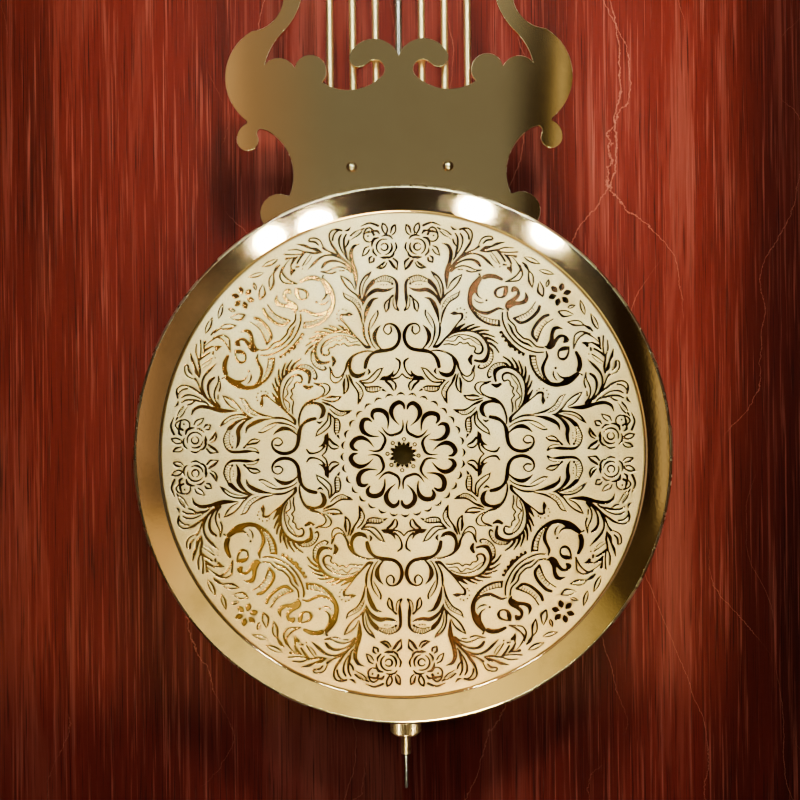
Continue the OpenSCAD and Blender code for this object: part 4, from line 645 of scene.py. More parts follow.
edge_flower = [
    part
    for turn in (15, 75, 135, 195, 255, 315)
    for part in taper([flower + r * np.array([math.cos(math.radians(turn)), math.sin(math.radians(turn))])
                       for r in (1.7, 3.0, 3.9)], 0.35, 1.15, 0.7)
]
half_axis = scroll + bud + hanging_leaves + inner_loop + roses + branch + double_scroll + plumes + edge_flower
print(len(half_axis), "strokes in half an axis")

# %% [markdown]
# The middle of the disc is its own band: eight hearts, each of two horns, stand round the hole. A bow
# joins each heart to the next, and 32 small crescents make a scalloped edge. Half a heart is drawn.

# %% The strokes of the middle band
HEARTS = 8
half_heart = [
    *taper([(0.6, 18.0), (1.1, 19.6), (2.8, 20.4), (4.9, 19.0), (5.7, 16.6), (4.6, 13.9), (2.3, 11.6)],
           0.3, 0.7, 0.95, 1.0, 0.95, 0.5, 0.1),
]
bow_way = math.radians(180 / HEARTS)
for side in (1, -1):
    half_bow = np.array([(0, 8.5), (1.6, 8.6), (2.8, 9.3), (3.7, 10.7), (4.3, 12.9)]) * [side, 1]
    bow = [(x * math.cos(bow_way) + z * math.sin(bow_way), z * math.cos(bow_way) - x * math.sin(bow_way))
           for x, z in half_bow]
    half_heart += taper(bow, 0.62, 0.6, 0.5, 0.35, 0.1)
for step in range(3):
    way = math.radians(11.25 * step + 5.6)
    centre = (22.4 * math.sin(way), 22.4 * math.cos(way))
    start = 90 - math.degrees(way)
    half_heart += arc(centre, 1.75, start + 62, start, 0.1, 0.5)
    half_heart += arc(centre, 1.75, start, start - 62, 0.5, 0.1)
half_heart += arc((0, 6.1), 0.65, 0, 360, 0.13, 0.2, 0.13)
half_heart += taper([(0, 4.0), (0.0, 4.9)], 0.6, 0.1)
half_heart += taper([(1.3, 3.9), (1.9, 5.2)], 0.5, 0.1)
print(len(half_heart), "strokes in half a heart")

# %% [markdown]
# ## From strokes to a surface
# For each point of the grid the program finds the least value of (distance to a stroke's middle line)
# minus (half the stroke's width there). It is below zero inside a stroke. A smooth step over a quarter
# of a millimetre turns it into depth, so that the walls of the cuts lean a little, as etched ones do.

# %% The nearest stroke
# Millimetres: the depth of a cut, how far its wall leans to each side of the stroke's edge, the width over
# which the disc's edge falls away, and a distance that is past every stroke.
CUT = 0.3
LEAN = 0.12
EDGE_FALL = 0.5
FAR = 5.0


def stroke_distance(points, strokes):
    """The least of (distance to the segment minus its half width) over all segments near each point."""
    least = np.full(len(points), FAR)
    for stroke in strokes:
        reach = stroke[:, 2].max() + 0.5
        inside = (points > stroke[:, :2].min(0) - reach) & (points < stroke[:, :2].max(0) + reach)
        near = np.flatnonzero(inside.all(1))
        if not len(near):
            continue
        across, up = points[near].T
        best = least[near]
        for (ax, az, aw), (bx, bz, bw) in zip(stroke[:-1], stroke[1:]):
            dx, dz = bx - ax, bz - az
            t = np.clip(((across - ax) * dx + (up - az) * dz) / (dx * dx + dz * dz + 1e-9), 0, 1)
            gap = np.hypot(across - ax - t * dx, up - az - t * dz) - aw - t * (bw - aw)
            best = np.minimum(best, gap)
        least[near] = best
    return least


def smooth_step(value, low, high):
    """0 below low, 1 above high, and 3t^2 - 2t^3 between, where t runs from 0 to 1."""
    t = np.clip((value - low) / (high - low), 0, 1)
    return t * t * (3 - 2 * t)


def mirrored(strokes, axis_degrees):
    """The strokes mirrored about a line through the centre, so many degrees from the up axis."""
    a = math.radians(2 * axis_degrees)
    swap = np.array([[-math.cos(a), math.sin(a)], [math.sin(a), math.cos(a)]])
    return [np.column_stack([s[:, :2] @ swap, s[:, 2]]) for s in strokes]


def wedge(strokes, radii, angles):
    """Stroke distance on a grid of radii (mm) by angles (degrees from the up axis)."""
    r, a = np.meshgrid(radii, np.radians(angles), indexing="ij")
    points = np.column_stack([(r * np.sin(a)).ravel(), (r * np.cos(a)).ravel()])
    last = angles[-1]
    whole = strokes + mirrored(strokes, 0) + mirrored(strokes, last)
    return stroke_distance(points, whole).reshape(r.shape)


# The middle band's radii in millimetres. Both grids have a point each 0.21 to 0.24 mm outwards, and each
# 0.24 mm or less round.
BAND_R = 25.0
HOLE_R = 4.0
outer_radii = np.linspace(BAND_R, DISC_R / MM, 296)
outer_angles = np.linspace(0, 45, 316)
inner_radii = np.linspace(HOLE_R, BAND_R, 101)
inner_angles = np.linspace(0, 180 / HEARTS, 46)
outer_gap = wedge(half_axis, outer_radii, outer_angles)
inner_gap = wedge(half_heart, inner_radii, inner_angles)
print("cut share of the ornament", round(float((outer_gap < 0).mean()), 2), "and of the middle band",
      round(float((inner_gap < 0).mean()), 2))

# %% [markdown]
# Eight wedges, each a closed plate with a flat back, make the ring of ornament. Every second one is the
# mirror of the first. The middle band is one closed ring, and it sits about four degrees clockwise of
# the rest, as the photograph shows.


# %% Closed plates with a relief on the front
def new_piece(name, vertices, faces, material, smooth_faces=None):
    """A mesh object at the origin; the first smooth_faces faces are shaded smooth, or all of them."""
    mesh = bpy.data.meshes.new(name)
    mesh.from_pydata(np.asarray(vertices).tolist(), [], [list(f) for f in faces])
    smooth = np.zeros(len(faces), bool)
    smooth[:smooth_faces] = True
    mesh.polygons.foreach_set("use_smooth", smooth)
    mesh.materials.append(material)
    obj = bpy.data.objects.new(name, mesh)
    bpy.context.scene.collection.objects.link(obj)
    return obj


def quads(a, b, c, d):
    """Faces from four equal arrays of corner numbers."""
    return np.stack([np.ravel(a), np.ravel(b), np.ravel(c), np.ravel(d)], 1).tolist()


def relief_plate(name, radii, angles, gap, material, whole_ring=False):
    """A plate between two radii (mm) and two angles (degrees clockwise from the top). Its front is sunk by
    the strokes and falls away at the outer edge; its back is flat. x = r sin(angle), z = r cos(angle)."""
    count_r, count_a = gap.shape
    r, a = np.meshgrid(radii, np.radians(angles), indexing="ij")
    polish = 1 - smooth_step(gap, -LEAN, LEAN)
    edge = np.clip(r - (DISC_R / MM - EDGE_FALL), 0, EDGE_FALL)
    depth = CUT * polish + edge
    front = np.stack([BOB.x + r * np.sin(a) * MM, disc_low.y + depth * MM, BOB.z + r * np.cos(a) * MM], 2)
    back = front.copy()
    back[:, :, 1] = disc_high.y
    number = np.arange(count_r * count_a).reshape(count_r, count_a)
    under = np.full(number.shape, -1)
    rim = np.zeros(number.shape, bool)
    rim[0] = rim[-1] = True
    if not whole_ring:
        rim[:, 0] = rim[:, -1] = True
    under[rim] = count_r * count_a + np.arange(rim.sum())
    if whole_ring:
        n, u = (np.hstack([g, g[:, :1]]) for g in (number, under))
    else:
        n, u = number, under
    faces = quads(n[:-1, :-1], n[:-1, 1:], n[1:, 1:], n[1:, :-1])
    smooth_faces = len(faces)
    faces += quads(n[0, :-1], u[0, :-1], u[0, 1:], n[0, 1:])
    faces += quads(n[-1, :-1], n[-1, 1:], u[-1, 1:], u[-1, :-1])
    if whole_ring:
        faces += quads(u[0, :-1], u[-1, :-1], u[-1, 1:], u[0, 1:])
    else:
        faces += quads(n[:-1, 0], n[1:, 0], u[1:, 0], u[:-1, 0])
        faces += quads(n[:-1, -1], u[:-1, -1], u[1:, -1], n[1:, -1])
        faces += quads(u[0, 1:-2], u[-1, 1:-2], u[-1, 2:-1], u[0, 2:-1])
        faces.append([*u[:, 0].tolist(), int(u[-1, 1]), int(u[0, 1])])
        faces.append([int(u[0, -2]), int(u[-1, -2]), *u[::-1, -1].tolist()])
    vertices = np.vstack([front.reshape(-1, 3), back[rim]])
    obj = new_piece(name, vertices, faces, material, smooth_faces)
    edges = obj.data.edges
    ends = np.empty(2 * len(edges), np.int32)
    edges.foreach_get("vertices", ends)
    on_border = np.concatenate([rim.ravel(), np.zeros(int(rim.sum()), bool)])
    sharp = obj.data.attributes.new("sharp_edge", "BOOLEAN", "EDGE")
    sharp.data.foreach_set("value", on_border[ends.reshape(-1, 2)].all(1))
    share = obj.data.attributes.new("polish", "FLOAT", "POINT")
    share.data.foreach_set("value", np.concatenate([polish.ravel(), np.zeros(int(rim.sum()))]))
    return obj


# %% [markdown]
# The disc's material reads the same depth again, as a share called polish: the ground is pale and
# finely stippled, and the sunk strokes are smooth. Their colour is a painted reflection: most are nearly
# black, and to the left above and below the middle they turn golden. The ground darkens to tan towards the
# bottom, a painted shade.


# %% The engraved disc's material, and its plates
def glow(tree, where, centre, radius):
    """1 at the centre (x, y, z in metres), falling evenly to 0 at the radius."""
    place = add(tree, "Mapping", Vector=where, Scale=[1 / radius] * 3, Location=[-c / radius for c in centre])
    ball = add(tree, "TexGradient", {"gradient_type": "SPHERICAL"}, Vector=place)
    return ball.outputs["Fac"]


def engraved_brass():
    """Stippled pale ground where polish is 0, smooth metal where it is 1, its colour a painted reflection:
    nearly black, golden to the left above and below the middle. The stipple is 0.4 mm wide and the ground's
    clouds 26 mm.
    Towards the bottom the ground darkens to tan, a painted shade."""
    material, tree = new_material("engraved_disc_brass")
    cut = add(tree, "Attribute", {"attribute_name": "polish"}).outputs["Fac"]
    where = add(tree, "TexCoord").outputs["Object"]
    grains = add(tree, "TexNoise", Vector=where, Scale=2400.0, Detail=2.0, Roughness=0.6)
    clouds = add(tree, "TexNoise", Vector=where, Scale=38.0, Detail=4.0, Roughness=0.6)
    ground = add(tree, "ValToRGB", stops=[(0.3, "#e0c486"), (0.5, "#e9d29a"), (0.7, "#efe0b4")], Fac=clouds)
    # Painted shade: towards the bottom the ground darkens to tan, where less light falls from above.
    height = add(tree, "SeparateXYZ", Vector=where).outputs["Z"]
    low = add(tree, "MapRange", Value=height, From_Min=BOB.z + 0.03, From_Max=BOB.z - 0.09, To_Max=0.75)
    ground = add(tree, "Mix", COLOURS, i0=low, i6=ground, i7="#c69754")
    speck = add(tree, "MapRange", Value=grains, From_Min=0.30, From_Max=0.50, To_Min=0.5, To_Max=0.0)
    ground = add(tree, "Mix", COLOURS, i0=speck, i6=ground, i7="#7a5c28")
    # Painted reflection: in two patches to the left, above and below the middle, the strokes turn golden as
    # if they mirrored a bright room.
    upper = glow(tree, where, (-0.052, disc_low.y, BOB.z + 0.046), 0.062)
    lower = glow(tree, where, (-0.050, disc_low.y, BOB.z - 0.052), 0.058)
    golden = add(tree, "Math", {"operation": "MAXIMUM"}, i0=upper, i1=lower)
    patches = add(tree, "TexNoise", Vector=where, Scale=70.0, Detail=3.0, Roughness=0.6)
    broken = add(tree, "Math", {"operation": "MULTIPLY"}, i0=golden, i1=patches)
    # Painted reflection: the strokes' colour runs from nearly black, for a dark room mirrored, to gold in
    # those patches.
    stroke_reflection = add(tree, "ValToRGB", stops=[(0.10, "#2c180a"), (0.22, "#5e431d"), (0.36, "#a67d36")], Fac=broken)
    colour = add(tree, "Mix", COLOURS, i0=cut, i6=ground, i7=stroke_reflection)
    rough = add(tree, "MapRange", Value=cut, To_Min=0.44, To_Max=0.14)
    relief = add(tree, "Bump", Height=grains, Strength=0.35, Distance=0.06 * MM)
    shader = add(tree, "BsdfPrincipled", Base_Color=colour, Metallic=1.0, Roughness=rough, Normal=relief)
    add(tree, "OutputMaterial", Surface=shader)
    return material


disc_brass = engraved_brass()
disc_pieces = []
for turn in range(8):
    gap = outer_gap[:, ::-1] if turn % 2 else outer_gap
    angles = outer_angles + 45 * turn
    disc_pieces.append(relief_plate("disc_wedge_%d" % (turn + 1), outer_radii, angles, gap, disc_brass))
BAND_TURN = 4
half_turned = np.hstack([inner_gap[:, :-1], inner_gap[:, :0:-1]])
ring_gap = np.tile(half_turned, (1, HEARTS))
ring_angles = np.arange(ring_gap.shape[1]) * 360 / ring_gap.shape[1] + BAND_TURN
disc_pieces.append(relief_plate("disc_middle_band", inner_radii, ring_angles, ring_gap, disc_brass,
                                whole_ring=True))
for obj in disc_pieces:
    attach(obj, "bob")
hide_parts("bob_disc")
print(len(disc_pieces), "plates,", sum(len(o.data.polygons) for o in disc_pieces), "faces")

# %% [markdown]
# ## The bob's polished rim
# The shell of a bob is spun over a form from sheet brass, and its rim is polished to a mirror. The solid
# has the same shell with a rounder fall, so this turned profile replaces it to the eye. From the disc
# outwards it is a polished ring that is dished by three degrees, a small round at the edge, the side
# wall and the open back. The dish is what lets the ring mirror the room and not the door beside it. The
# round at the edge is burnished, so its faces have the second material.


# %% A turned profile
AROUND = 256


def turned(name, profile, material):
    """A closed ring: each profile point (radius, depth in mm) goes round the bob's axis.
    x = r sin(a), z = r cos(a), y = depth behind the disc's face."""
    profile = np.array(profile, float) * MM
    a = np.linspace(0, 2 * np.pi, AROUND, endpoint=False)[None, :]
    r, depth = profile[:, :1], profile[:, 1:]
    points = np.stack([BOB.x + r * np.sin(a), disc_low.y + depth + 0 * a, BOB.z + r * np.cos(a)], 2)
    n = np.arange(points.shape[0] * AROUND).reshape(-1, AROUND)
    n = np.vstack([n, n[:1]])
    n = np.hstack([n, n[:, :1]])
    faces = quads(n[:-1, :-1], n[:-1, 1:], n[1:, 1:], n[1:, :-1])
    return new_piece(name, points.reshape(-1, 3), faces, material)


# Millimetres: how far the side wall lies inside the solid shell's radius, how far the polished ring's outer
# edge lies behind the disc's face, the round at that edge, the sheet's thickness, the gap round the disc.
EDGE_INSET = 1.7
EDGE_DEPTH = 0.8
EDGE_ROUND = 1.2
WALL = 0.8
DISC_GAP = 0.15
# The slope of the dished ring.
DISH = math.tan(math.radians(3))
rim_depth = (shell_high.y - disc_low.y) / MM
rim_r = BOB_R / MM - EDGE_INSET
flat_r = rim_r - EDGE_ROUND
inner_r = DISC_R / MM + DISC_GAP
edge = [(flat_r + EDGE_ROUND * math.sin(t), EDGE_DEPTH + EDGE_ROUND * (1 - math.cos(t)))
        for t in np.radians(np.linspace(0, 90, 9))]
rim_front = [(inner_r, 1.6)]
rim_front += [(r, EDGE_DEPTH + DISH * (flat_r - r)) for r in np.linspace(inner_r + 0.2, flat_r - 0.3, 12)]
open_back = [(rim_r, rim_depth), (rim_r - WALL, rim_depth), (rim_r - WALL, 6.0), (inner_r + 3, 4.0),
             (inner_r, 4.0)]
rim_profile = [*rim_front, *edge, *open_back]
bob_rim = turned("bob_polished_rim", rim_profile, rim_brass)
bob_rim.data.materials.append(arris_brass)
burnished = np.zeros(len(bob_rim.data.polygons), np.int32)
burnished[len(rim_front) * AROUND : (len(rim_front) + len(edge) - 1) * AROUND] = 1
bob_rim.data.polygons.foreach_set("material_index", burnished)
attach(bob_rim, "bob")
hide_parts("bob_shell")
print("rim of", len(rim_profile), "points, from", round(inner_r, 1), "to", round(rim_r, 1), "mm")

# %% [markdown]
# ## The line, the thread and the dial's figures
# The weight hangs on one line: down from the barrel, round the pulley and up to a knot on the seatboard.
# It is laid from three strands, so its surface is a tube whose radius rises and falls three times round,
# turning as it goes. It follows the case above the seatboard and the weight below, and stretches between.


# %% A tube along a path
def tube(name, path, radius, material, around=12, lobes=0, lobe_depth=0.0, lay=0.006, tip=0.0):
    """A closed tube along a path of points in metres. Round a point it has `around` corners. With lobes, the
    radius is radius * (1 - lobe_depth * sin^2(lobes / 2 * (angle - turn))), where turn grows by a full
    circle each `lay` metres times lobes. With tip, both ends narrow over that length. Fans close the ends."""
    path = np.array(path, float)
    way = np.gradient(path, axis=0)
    way /= np.linalg.norm(way, axis=1)[:, None]
    side = np.cross(way, [0.0, 1.0, 0.0])
    side /= np.linalg.norm(side, axis=1)[:, None]
    other = np.cross(way, side)
    length = np.concatenate([[0], np.cumsum(np.linalg.norm(np.diff(path, axis=0), axis=1))])
    angle = np.linspace(0, 2 * np.pi, around, endpoint=False)[None, :]
    turn = 2 * np.pi * length[:, None] / (lay * max(lobes, 1))
    r = radius * (1 - lobe_depth * np.sin(lobes / 2 * (angle - turn)) ** 2)
    if tip:
        r = r * np.clip(np.minimum(length, length[-1] - length) / tip, 0.02, 1)[:, None]
    sideways = (r * np.cos(angle))[..., None] * side[:, None]
    rings = path[:, None] + sideways + (r * np.sin(angle))[..., None] * other[:, None]
    n = np.arange(len(path) * around).reshape(len(path), around)
    n = np.hstack([n, n[:, :1]])
    faces = quads(n[:-1, :-1], n[:-1, 1:], n[1:, 1:], n[1:, :-1])
    first_end = len(path) * around
    faces += [[first_end, int(b), int(a)] for a, b in zip(n[0, :-1], n[0, 1:])]
    faces += [[first_end + 1, int(a), int(b)] for a, b in zip(n[-1, :-1], n[-1, 1:])]
    return new_piece(name, np.vstack([rings.reshape(-1, 3), path[:1], path[-1:]]), faces, material)


def gut():
    """Waxed gut: a warm fibre colour, streaked along the lay, with a dull sheen."""
    material, tree = new_material("waxed_gut_line")
    streak = add(tree, "TexNoise", Vector=stretched(tree, [1800.0, 1800.0, 300.0]), Scale=1.0, Detail=3.0)
    colour = add(tree, "ValToRGB", stops=[(0.3, "#8a6c3c"), (0.5, "#b3935c"), (0.7, "#cbb07c")], Fac=streak)
    relief = add(tree, "Bump", Height=streak, Strength=0.4, Distance=0.1 * MM)
    shader = add(tree, "BsdfPrincipled", Base_Color=colour, Roughness=0.55, Normal=relief)
    add(tree, "OutputMaterial", Surface=shader)
    return material


gut_line = gut()
line_low, line_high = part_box("weight_line")
pulley_mid = middle("pulley")
seat_low, seat_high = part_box("seatboard")
LINE_R = (line_high.y - line_low.y) / 2
fall = (line_high.x - line_low.x) / 2 - LINE_R
# The path has a station each 0.8 mm: seven of them for each 6 mm, after which the surface repeats.
STATION = 0.8 * MM
left = [(-fall, z) for z in np.arange(line_high.z, pulley_mid.z, -STATION)]
under_pulley = [(-fall * math.cos(t), pulley_mid.z - fall * math.sin(t)) for t in np.linspace(0, math.pi, 60)]
right = [(fall, z) for z in np.arange(pulley_mid.z + STATION, seat_high.z + 3 * MM, STATION)]
line_path = [(line_low.x / 2 + line_high.x / 2 + x, pulley_mid.y, z) for x, z in left + under_pulley + right]
line = tube("weight_line_laid", line_path, LINE_R, gut_line, lobes=3, lobe_depth=0.28, around=15)
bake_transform(line)
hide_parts("weight_line")
print("line", len(line_path), "stations, falls", round(fall / MM, 1), "mm from the middle")

# %% [markdown]
# The screw under the bob carries the rating nut. Its thread is a fine ridge wound round the rod's end.

# %% The thread of the rating screw
nut_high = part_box("rating_nut")[1]
rod_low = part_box("steel_rod")[0]
rod_mid = middle("steel_rod")
PITCH = 0.8 * MM
SCREW_R = 0.9 * MM
turns = np.arange(rod_low.z + 1.2 * MM, nut_high.z + 6 * MM, PITCH / 24)
turn_angle = 2 * np.pi * turns / PITCH
thread_path = np.column_stack([SCREW_R * np.cos(turn_angle), rod_mid.y + SCREW_R * np.sin(turn_angle), turns])
thread = tube("rating_screw_thread", thread_path, 0.17 * MM, steel, around=6, tip=0.5 * MM)
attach(thread, "pendulum")
print("thread", len(thread_path), "stations")

# %% [markdown]
# The dial is plain: Roman hours, a ring of minutes, and seconds above the middle. The figures are
# engraved and filled with black wax, so they are thin raised plates of wax here, 0.15 mm proud.


# %% Wax figures on the chapter ring and the seconds ring
def wax():
    """Black engraver's wax, a little uneven and slightly shiny."""
    material, tree = new_material("black_engravers_wax")
    uneven = add(tree, "TexNoise", Vector=stretched(tree, [700.0] * 3), Scale=1.0, Detail=3.0)
    colour = add(tree, "ValToRGB", stops=[(0.3, "#0c0b0a"), (0.7, "#1d1a18")], Fac=uneven)
    relief = add(tree, "Bump", Height=uneven, Strength=0.3, Distance=0.05 * MM)
    shader = add(tree, "BsdfPrincipled", Base_Color=colour, Roughness=0.35, Normal=relief)
    add(tree, "OutputMaterial", Surface=shader)
    return material


def plates(name, outlines, front_y, back_y, material):
    """Closed flat plates, one for each outline: corners (x, z) in metres, anticlockwise from the front."""
    vertices, faces = [], []
    for outline in outlines:
        start, count = len(vertices), len(outline)
        vertices += [(x, front_y, z) for x, z in outline] + [(x, back_y, z) for x, z in outline]
        ring = list(range(count))
        faces.append([start + k for k in ring])
        faces.append([start + count + k for k in reversed(ring)])
        for k, after in zip(ring, ring[1:] + ring[:1]):
            faces.append([start + k, start + count + k, start + count + after, start + after])
    return new_piece(name, vertices, faces, material, 0)


def bar(foot, head, half):
    """A straight stroke: four corners round the line from foot to head."""
    foot, head = np.array(foot, float), np.array(head, float)
    side = np.array([foot[1] - head[1], head[0] - foot[0]]) / np.linalg.norm(head - foot) * half
    return [foot - side, head - side, head + side, foot + side][::-1]


def roman(text, height):
    """Strokes of a Roman number, centred, in millimetres; each letter is a few bars between serifs."""
    wide = {"I": 3.4, "V": 7.6, "X": 8.0}
    thick, thin, serif = 1.0, 0.35, 0.22
    strokes, x = [], -sum(wide[c] for c in text) / 2
    for c in text:
        w = wide[c]
        middle_x = x + w / 2
        if c == "I":
            strokes.append(((middle_x, 0), (middle_x, height), 0.95))
        elif c == "V":
            strokes.append(((middle_x, 0), (x + 1.2, height), thick))
            strokes.append(((middle_x, 0), (x + w - 1.2, height), thin))
        else:
            strokes.append(((x + w - 1.3, 0), (x + 1.3, height), thick))
            strokes.append(((x + 1.3, 0), (x + w - 1.3, height), thin))
        strokes += [((x + 0.5, z), (x + w - 0.5, z), serif) for z in (0, height)]
        x += w
    return strokes


ring_low, ring_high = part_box("chapter_ring")
dial_mid = middle("hour_wheel")
ring_front = ring_low.y
outer_r = (ring_high.x - ring_low.x) / 2 / MM


def on_dial(point, degrees, radius, centre=(0.0, 0.0)):
    """A point (mm) drawn upright at the top of a circle of this radius, turned clockwise to its place."""
    a = math.radians(degrees)
    x, z = point[0], point[1] + radius
    return (dial_mid.x + (centre[0] + x * math.cos(a) + z * math.sin(a)) * MM,
            dial_mid.z + (centre[1] + z * math.cos(a) - x * math.sin(a)) * MM)


numbers = ["XII", "I", "II", "III", "IIII", "V", "VI", "VII", "VIII", "IX", "X", "XI"]
outlines = []
for hour, text in enumerate(numbers):
    for foot, head, half in roman(text, 17):
        outlines.append([on_dial(p, hour * 30, outer_r - 26) for p in bar(foot, head, half)])
for minute in range(60):
    half = 0.75 if minute % 5 == 0 else 0.3
    outlines.append([on_dial(p, minute * 6, outer_r - 6.2) for p in bar((0, 0), (0, 3.6), half)])
# The two rings of the minute track, as short straight pieces: degrees a piece, and half its width in mm.
RING_STEP = 1.5
RING_HALF = 0.15
for k in range(round(360 / RING_STEP)):
    start, end = RING_STEP * k, RING_STEP * k + RING_STEP
    for r in (outer_r - 2.3, outer_r - 6.5):
        corners = ((start, RING_HALF), (end, RING_HALF), (end, -RING_HALF), (start, -RING_HALF))
        outlines.append([on_dial((0, up), a, r) for a, up in corners])
for second in range(60):
    long_mark = second % 5 == 0
    outlines.append([on_dial(p, second * 6, 20 if long_mark else 22, (0, 40))
                     for p in bar((0, 0), (0, 4 if long_mark else 2), 0.28 if long_mark else 0.14)])
figures = plates("dial_figures", outlines, ring_front - 0.15 * MM, ring_front + 0.2 * MM, wax())
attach(figures, "case")
print("dial", len(outlines), "strokes of wax")

# %% [markdown]
# ## A finish for every piece
# Each CAD piece keeps its mesh and gets a material. Wood pieces take the one whose grain runs along
# them: up and down for stiles and boards, across for mouldings and rails.

# %% Finishes for the CAD pieces
finishes = {
    case_wood: ["plinth_box", "trunk_sides", "trunk_front", "trunk_door_frame", "hood_sides", "hood_front",
                "hood_columns", "hood_door_frame"],
    case_wood_across: ["skirting", "waist_moulding", "throat_moulding", "cornice", "pediment", "hood_roof"],
    board_wood: ["back_board"],
    mask_wood: ["hood_mask"],
    oak: ["seatboard"],
    glass: ["trunk_door_glass", "hood_door_glass"],
    hinge_brass: ["trunk_hinge_plates", "trunk_door_hinges", "hood_hinge_plates", "hood_door_hinges",
                  "trunk_door_knob", "hood_door_knob", "finials"],
    matted_brass: ["dial_plate"],
    silver: ["chapter_ring"],
    movement_brass: ["front_plate", "back_plate", "pillars", "back_cock", "centre_arbor", "great_wheel",
                     "going_barrel", "third_arbor", "escape_arbor", "minute_wheel", "hour_wheel"],
    steel: ["suspension_spring", "steel_rod", "anchor_crutch"],
    blued_steel: ["minute_hand", "hour_hand", "seconds_hand"],
    rod_brass: ["pendulum_leader", "brass_rods", "rod_bridges"],
    lyre_brass: ["lyre_plate"],
    rivet_brass: ["lyre_rivets"],
    rim_brass: ["bob_shell"],
    raw_brass: ["bob_back"],
    lead: ["bob_lead"],
    nut_brass: ["rating_nut"],
    weight_brass: ["weight", "pulley"],
    gut_line: ["barrel_line"],
}
for material, names in finishes.items():
    for name in names:
        mesh = nodes[name].data
        mesh.materials.clear()
        mesh.materials.append(material)

# The sawn edge of the lyre plate is burnished: its corners are broken by 0.45 mm, in the brighter finish.
# The loose triangles of its faces are joined first, so that no seam shows in the mirror.
lyre = nodes["lyre_plate"]
lyre.data.materials.append(arris_brass)
lyre.modifiers.new("weld", "WELD").merge_threshold = 0.01 * MM
whole_faces = lyre.modifiers.new("whole_faces", "DECIMATE")
whole_faces.decimate_type = "DISSOLVE"
whole_faces.angle_limit = math.radians(0.2)
broken = lyre.modifiers.new("broken_corners", "BEVEL")
broken.width = 0.45 * MM
broken.segments = 2
broken.angle_limit = math.radians(50)
broken.material = 1

done = {name for names in finishes.values() for name in names}
print(len(done), "pieces finished; without:", sorted(set(nodes) - done - {"bob_disc", "weight_line"}))

# %% [markdown]
# ## Room and light
# The floor is pale and plain. The world is brightest near the horizon and darker overhead, and rays that
# light matt surfaces see it at half strength.
# Polished brass shows what it mirrors, so the mirrored room matters as much as the lamps. For glossy rays
# only, the world has a dim patch ahead of the clock, as if one looked out of its case into a room: beige
# at the left, grey in the middle, dark with one thin gold line at the right. The floor a few steps ahead
# of the clock is bright and yellow to these rays, and far off it lets them through to the world.


# %% Floor and world
# How far the floor lies under the clock and reaches each way, in metres, and the strength of the glow that
# polished metal sees on it.
FLOOR_GAP = 0.5 * MM
FLOOR_HALF = 30
FLOOR_GLOW = 2.5


def pale_floor():
    """Matt warm white with a mottling of a third of a metre. Glossy rays see a glow on it, from 1.5 m
    ahead of the origin to 9 m, whose colour goes from left to right by x."""
    material, tree = new_material("pale_floor_with_painted_glow")
    mottle = add(tree, "TexNoise", Vector=stretched(tree, [3.0] * 3), Scale=1.0, Detail=6.0, Roughness=0.7)
    colour = add(tree, "ValToRGB", stops=[(0.3, "#dedad2"), (0.7, "#e8e5de")], Fac=mottle)
    shader = add(tree, "BsdfPrincipled", Base_Color=colour, Roughness=0.8)
    place = add(tree, "SeparateXYZ", Vector=add(tree, "TexCoord").outputs["Object"])
    across = add(tree, "MapRange", Value=place.outputs["X"], From_Min=-1.0, From_Max=1.2)
    # Painted reflection: for glossy rays only, the floor glows bright yellow though it is no lamp.
    glows = [(0.0, "#c8a468"), (0.3, "#fff0a0"), (0.55, "#ffe890"), (0.8, "#382c1c")]
    tones = add(tree, "ValToRGB", stops=glows, Fac=across)
    painted_glow = add(tree, "Emission", Color=tones, Strength=FLOOR_GLOW)
    near = add(tree, "MapRange", Value=place.outputs["Y"], From_Min=-9.0, From_Max=-6.5)
    beyond = add(tree, "MixShader", Fac=near, i1=add(tree, "BsdfTransparent"), i2=painted_glow)
    away = add(tree, "MapRange", Value=place.outputs["Y"], From_Min=-1.5, From_Max=-2.1)
    glossy = add(tree, "LightPath").outputs["Is Glossy Ray"]
    shown = add(tree, "Math", {"operation": "MULTIPLY"}, i0=glossy, i1=away)
    add(tree, "OutputMaterial", Surface=add(tree, "MixShader", Fac=shown, i1=shader, i2=beyond))
    return material


